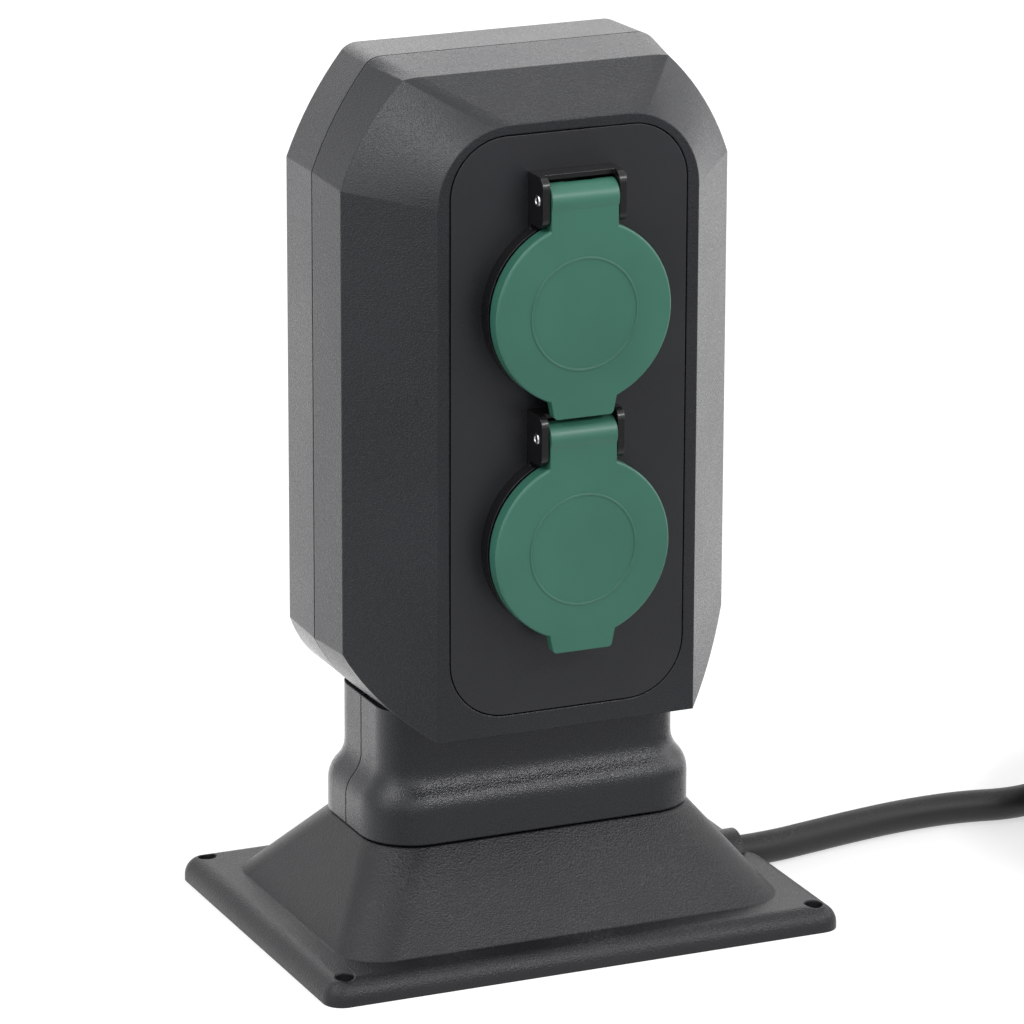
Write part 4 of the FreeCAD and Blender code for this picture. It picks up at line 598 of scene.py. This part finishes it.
studio = {
    "camera": (-0.6573, -1.4867, 0.6105), "aim": (0.00104, 0.0, 0.11304), "roll": 0.19,
    "lens": 219.68, "sensor": 36.0, "clip": (0.05, 50.0), "worldFill": 0.42,
    "lamps": {
        "overheadSoftbox": {"place": (-0.35, -0.3, 1.6), "aim": (0, 0, 0.1),
                            "size": (1.0, 1.0), "power": 3.5},
        "leftSoftbox": {"place": (-1.5, -0.35, 0.7), "aim": (0, 0, 0.12),
                        "size": (0.8, 1.2), "power": 4.0},
        "rightSoftbox": {"place": (1.5, -0.2, 0.7), "aim": (0, 0, 0.12),
                         "size": (0.8, 1.2), "power": 7.0},
        "frontSoftbox": {"place": (-0.5, -1.9, 1.1), "aim": (0, 0, 0.12),
                         "size": (1.0, 1.0), "power": 4.0},
        "rearSoftbox": {"place": (0.55, 1.5, 0.95), "aim": (0, 0, 0.15),
                        "size": (1.3, 0.9), "power": 4.6},
        "sparkSoftbox": {"place": (-1.05, -0.14, 1.3), "aim": (0, 0, 0.15),
                         "size": (0.7, 0.7), "power": 6.2},
        "shoulderSoftbox": {"place": (0.66, -1.25, 1.02), "aim": (0, 0, 0.05),
                            "size": (1.1, 0.2), "power": 10.0},
    },
}

# the floor: matt paper to soft light, white to the camera, and as bright in gloss as set here
floorPaper = {
    "size": 6.0, "matt": 0.8, "pale": 0.55, "glow": (0.6, 1.0), "glowReach": (0.6, 2.2),
    "behind": 1.4, "before": 0.36, "turnsAt": (-0.2, 0.2),
    # more on the right, near the base
    "closeIn": 0.32, "closeInX": (-0.3, 0.0), "closeInY": (-0.52, -0.24),
}


def grey(level):
    return (level, level, level, 1)


def whiteLight(tree, kind, strength):
    return addNode(tree, kind, {"Color": grey(1), "Strength": strength}).outputs[0]


def mattPaper(tree, level):
    return addNode(tree, "ShaderNodeBsdfDiffuse", {"Color": grey(level)}).outputs[0]


def mixShader(tree, factor, first, second):
    return addNode(tree, "ShaderNodeMixShader", {0: factor, 1: first, 2: second}).outputs[0]


def seenDirectly(tree):
    # seen by the camera or through something clear, and that or seen in gloss
    rays = addNode(tree, "ShaderNodeLightPath").outputs
    direct = mathNode(tree, "MAXIMUM", rays["Is Camera Ray"], rays["Is Transmission Ray"])
    return direct, mathNode(tree, "MAXIMUM", direct, rays["Is Glossy Ray"])


def buildWorld():
    world = bpy.data.worlds.new("studioWorld")
    bpy.context.scene.world = world
    world.use_nodes = True
    tree = world.node_tree
    tree.nodes.clear()
    fill = whiteLight(tree, "ShaderNodeBackground", studio["worldFill"])
    white = whiteLight(tree, "ShaderNodeBackground", 1.0)   # 1 renders as white
    both = mixShader(tree, seenDirectly(tree)[1], fill, white)
    addNode(tree, "ShaderNodeOutputWorld", {"Surface": both})


def paperMaterial():
    material, tree = newMaterial("floorPaper")
    direct, seen = seenDirectly(tree)
    place = ownPlace(tree)
    way = addNode(tree, "ShaderNodeSeparateXYZ", {0: place}).outputs
    matt, pale = mattPaper(tree, floorPaper["matt"]), mattPaper(tree, floorPaper["pale"])

    # to the camera: pale, with a glow that fades in away from the object
    away = addNode(tree, "ShaderNodeVectorMath", {0: place}, operation="LENGTH").outputs["Value"]
    fade = ramp(tree, away, *floorPaper["glowReach"], *floorPaper["glow"])
    glow = whiteLight(tree, "ShaderNodeEmission", fade)
    lit = addNode(tree, "ShaderNodeAddShader", {0: pale, 1: glow}).outputs[0]

    # in gloss: dimmer before the object than behind it
    closeIn = mathNode(tree, "MULTIPLY", ramp(tree, way["X"], *floorPaper["closeInX"]),
                       ramp(tree, way["Y"], *floorPaper["closeInY"]))
    spread = ramp(tree, way["Y"], *floorPaper["turnsAt"],
                  floorPaper["before"], floorPaper["behind"])
    brightness = mathNode(tree, "MULTIPLY_ADD", closeIn, floorPaper["closeIn"], spread)
    inGloss = whiteLight(tree, "ShaderNodeEmission", brightness)

    shown = mixShader(tree, direct, inGloss, lit)
    addNode(tree, "ShaderNodeOutputMaterial", {"Surface": mixShader(tree, seen, matt, shown)})
    return material


def buildFloor():
    mesh = bpy.data.meshes.new("studioFloor")
    half = floorPaper["size"] / 2
    corners = [(-half, -half, 0), (half, -half, 0), (half, half, 0), (-half, half, 0)]
    mesh.from_pydata(corners, [], [(0, 1, 2, 3)])
    mesh.materials.append(paperMaterial())
    newObject("studioFloor", mesh)


def lookAt(piece, place, aim, roll=0.0):
    # lamps and cameras look along their own -Z
    piece.location = place
    piece.rotation_mode = "QUATERNION"
    look = (Vector(aim) - Vector(place)).to_track_quat("-Z", "Y")
    piece.rotation_quaternion = look @ Matrix.Rotation(math.radians(roll), 3, "Z").to_quaternion()


def buildLamps():
    for name, lamp in studio["lamps"].items():
        light = bpy.data.lights.new(name, "AREA")
        light.shape = "RECTANGLE"
        light.size, light.size_y = lamp["size"]
        light.energy = lamp["power"]
        lookAt(newObject(name, light), lamp["place"], lamp["aim"])


def buildCamera():
    lens = bpy.data.cameras.new("photoCamera")
    lens.sensor_width = studio["sensor"]
    lens.lens = studio["lens"]
    lens.clip_start, lens.clip_end = studio["clip"]
    camera = newObject("photoCamera", lens)
    lookAt(camera, studio["camera"], studio["aim"], studio["roll"])
    bpy.context.scene.camera = camera


buildWorld()
buildFloor()
buildLamps()
buildCamera()
bpy.context.scene.view_settings.view_transform = "Standard"
print("studio ready")
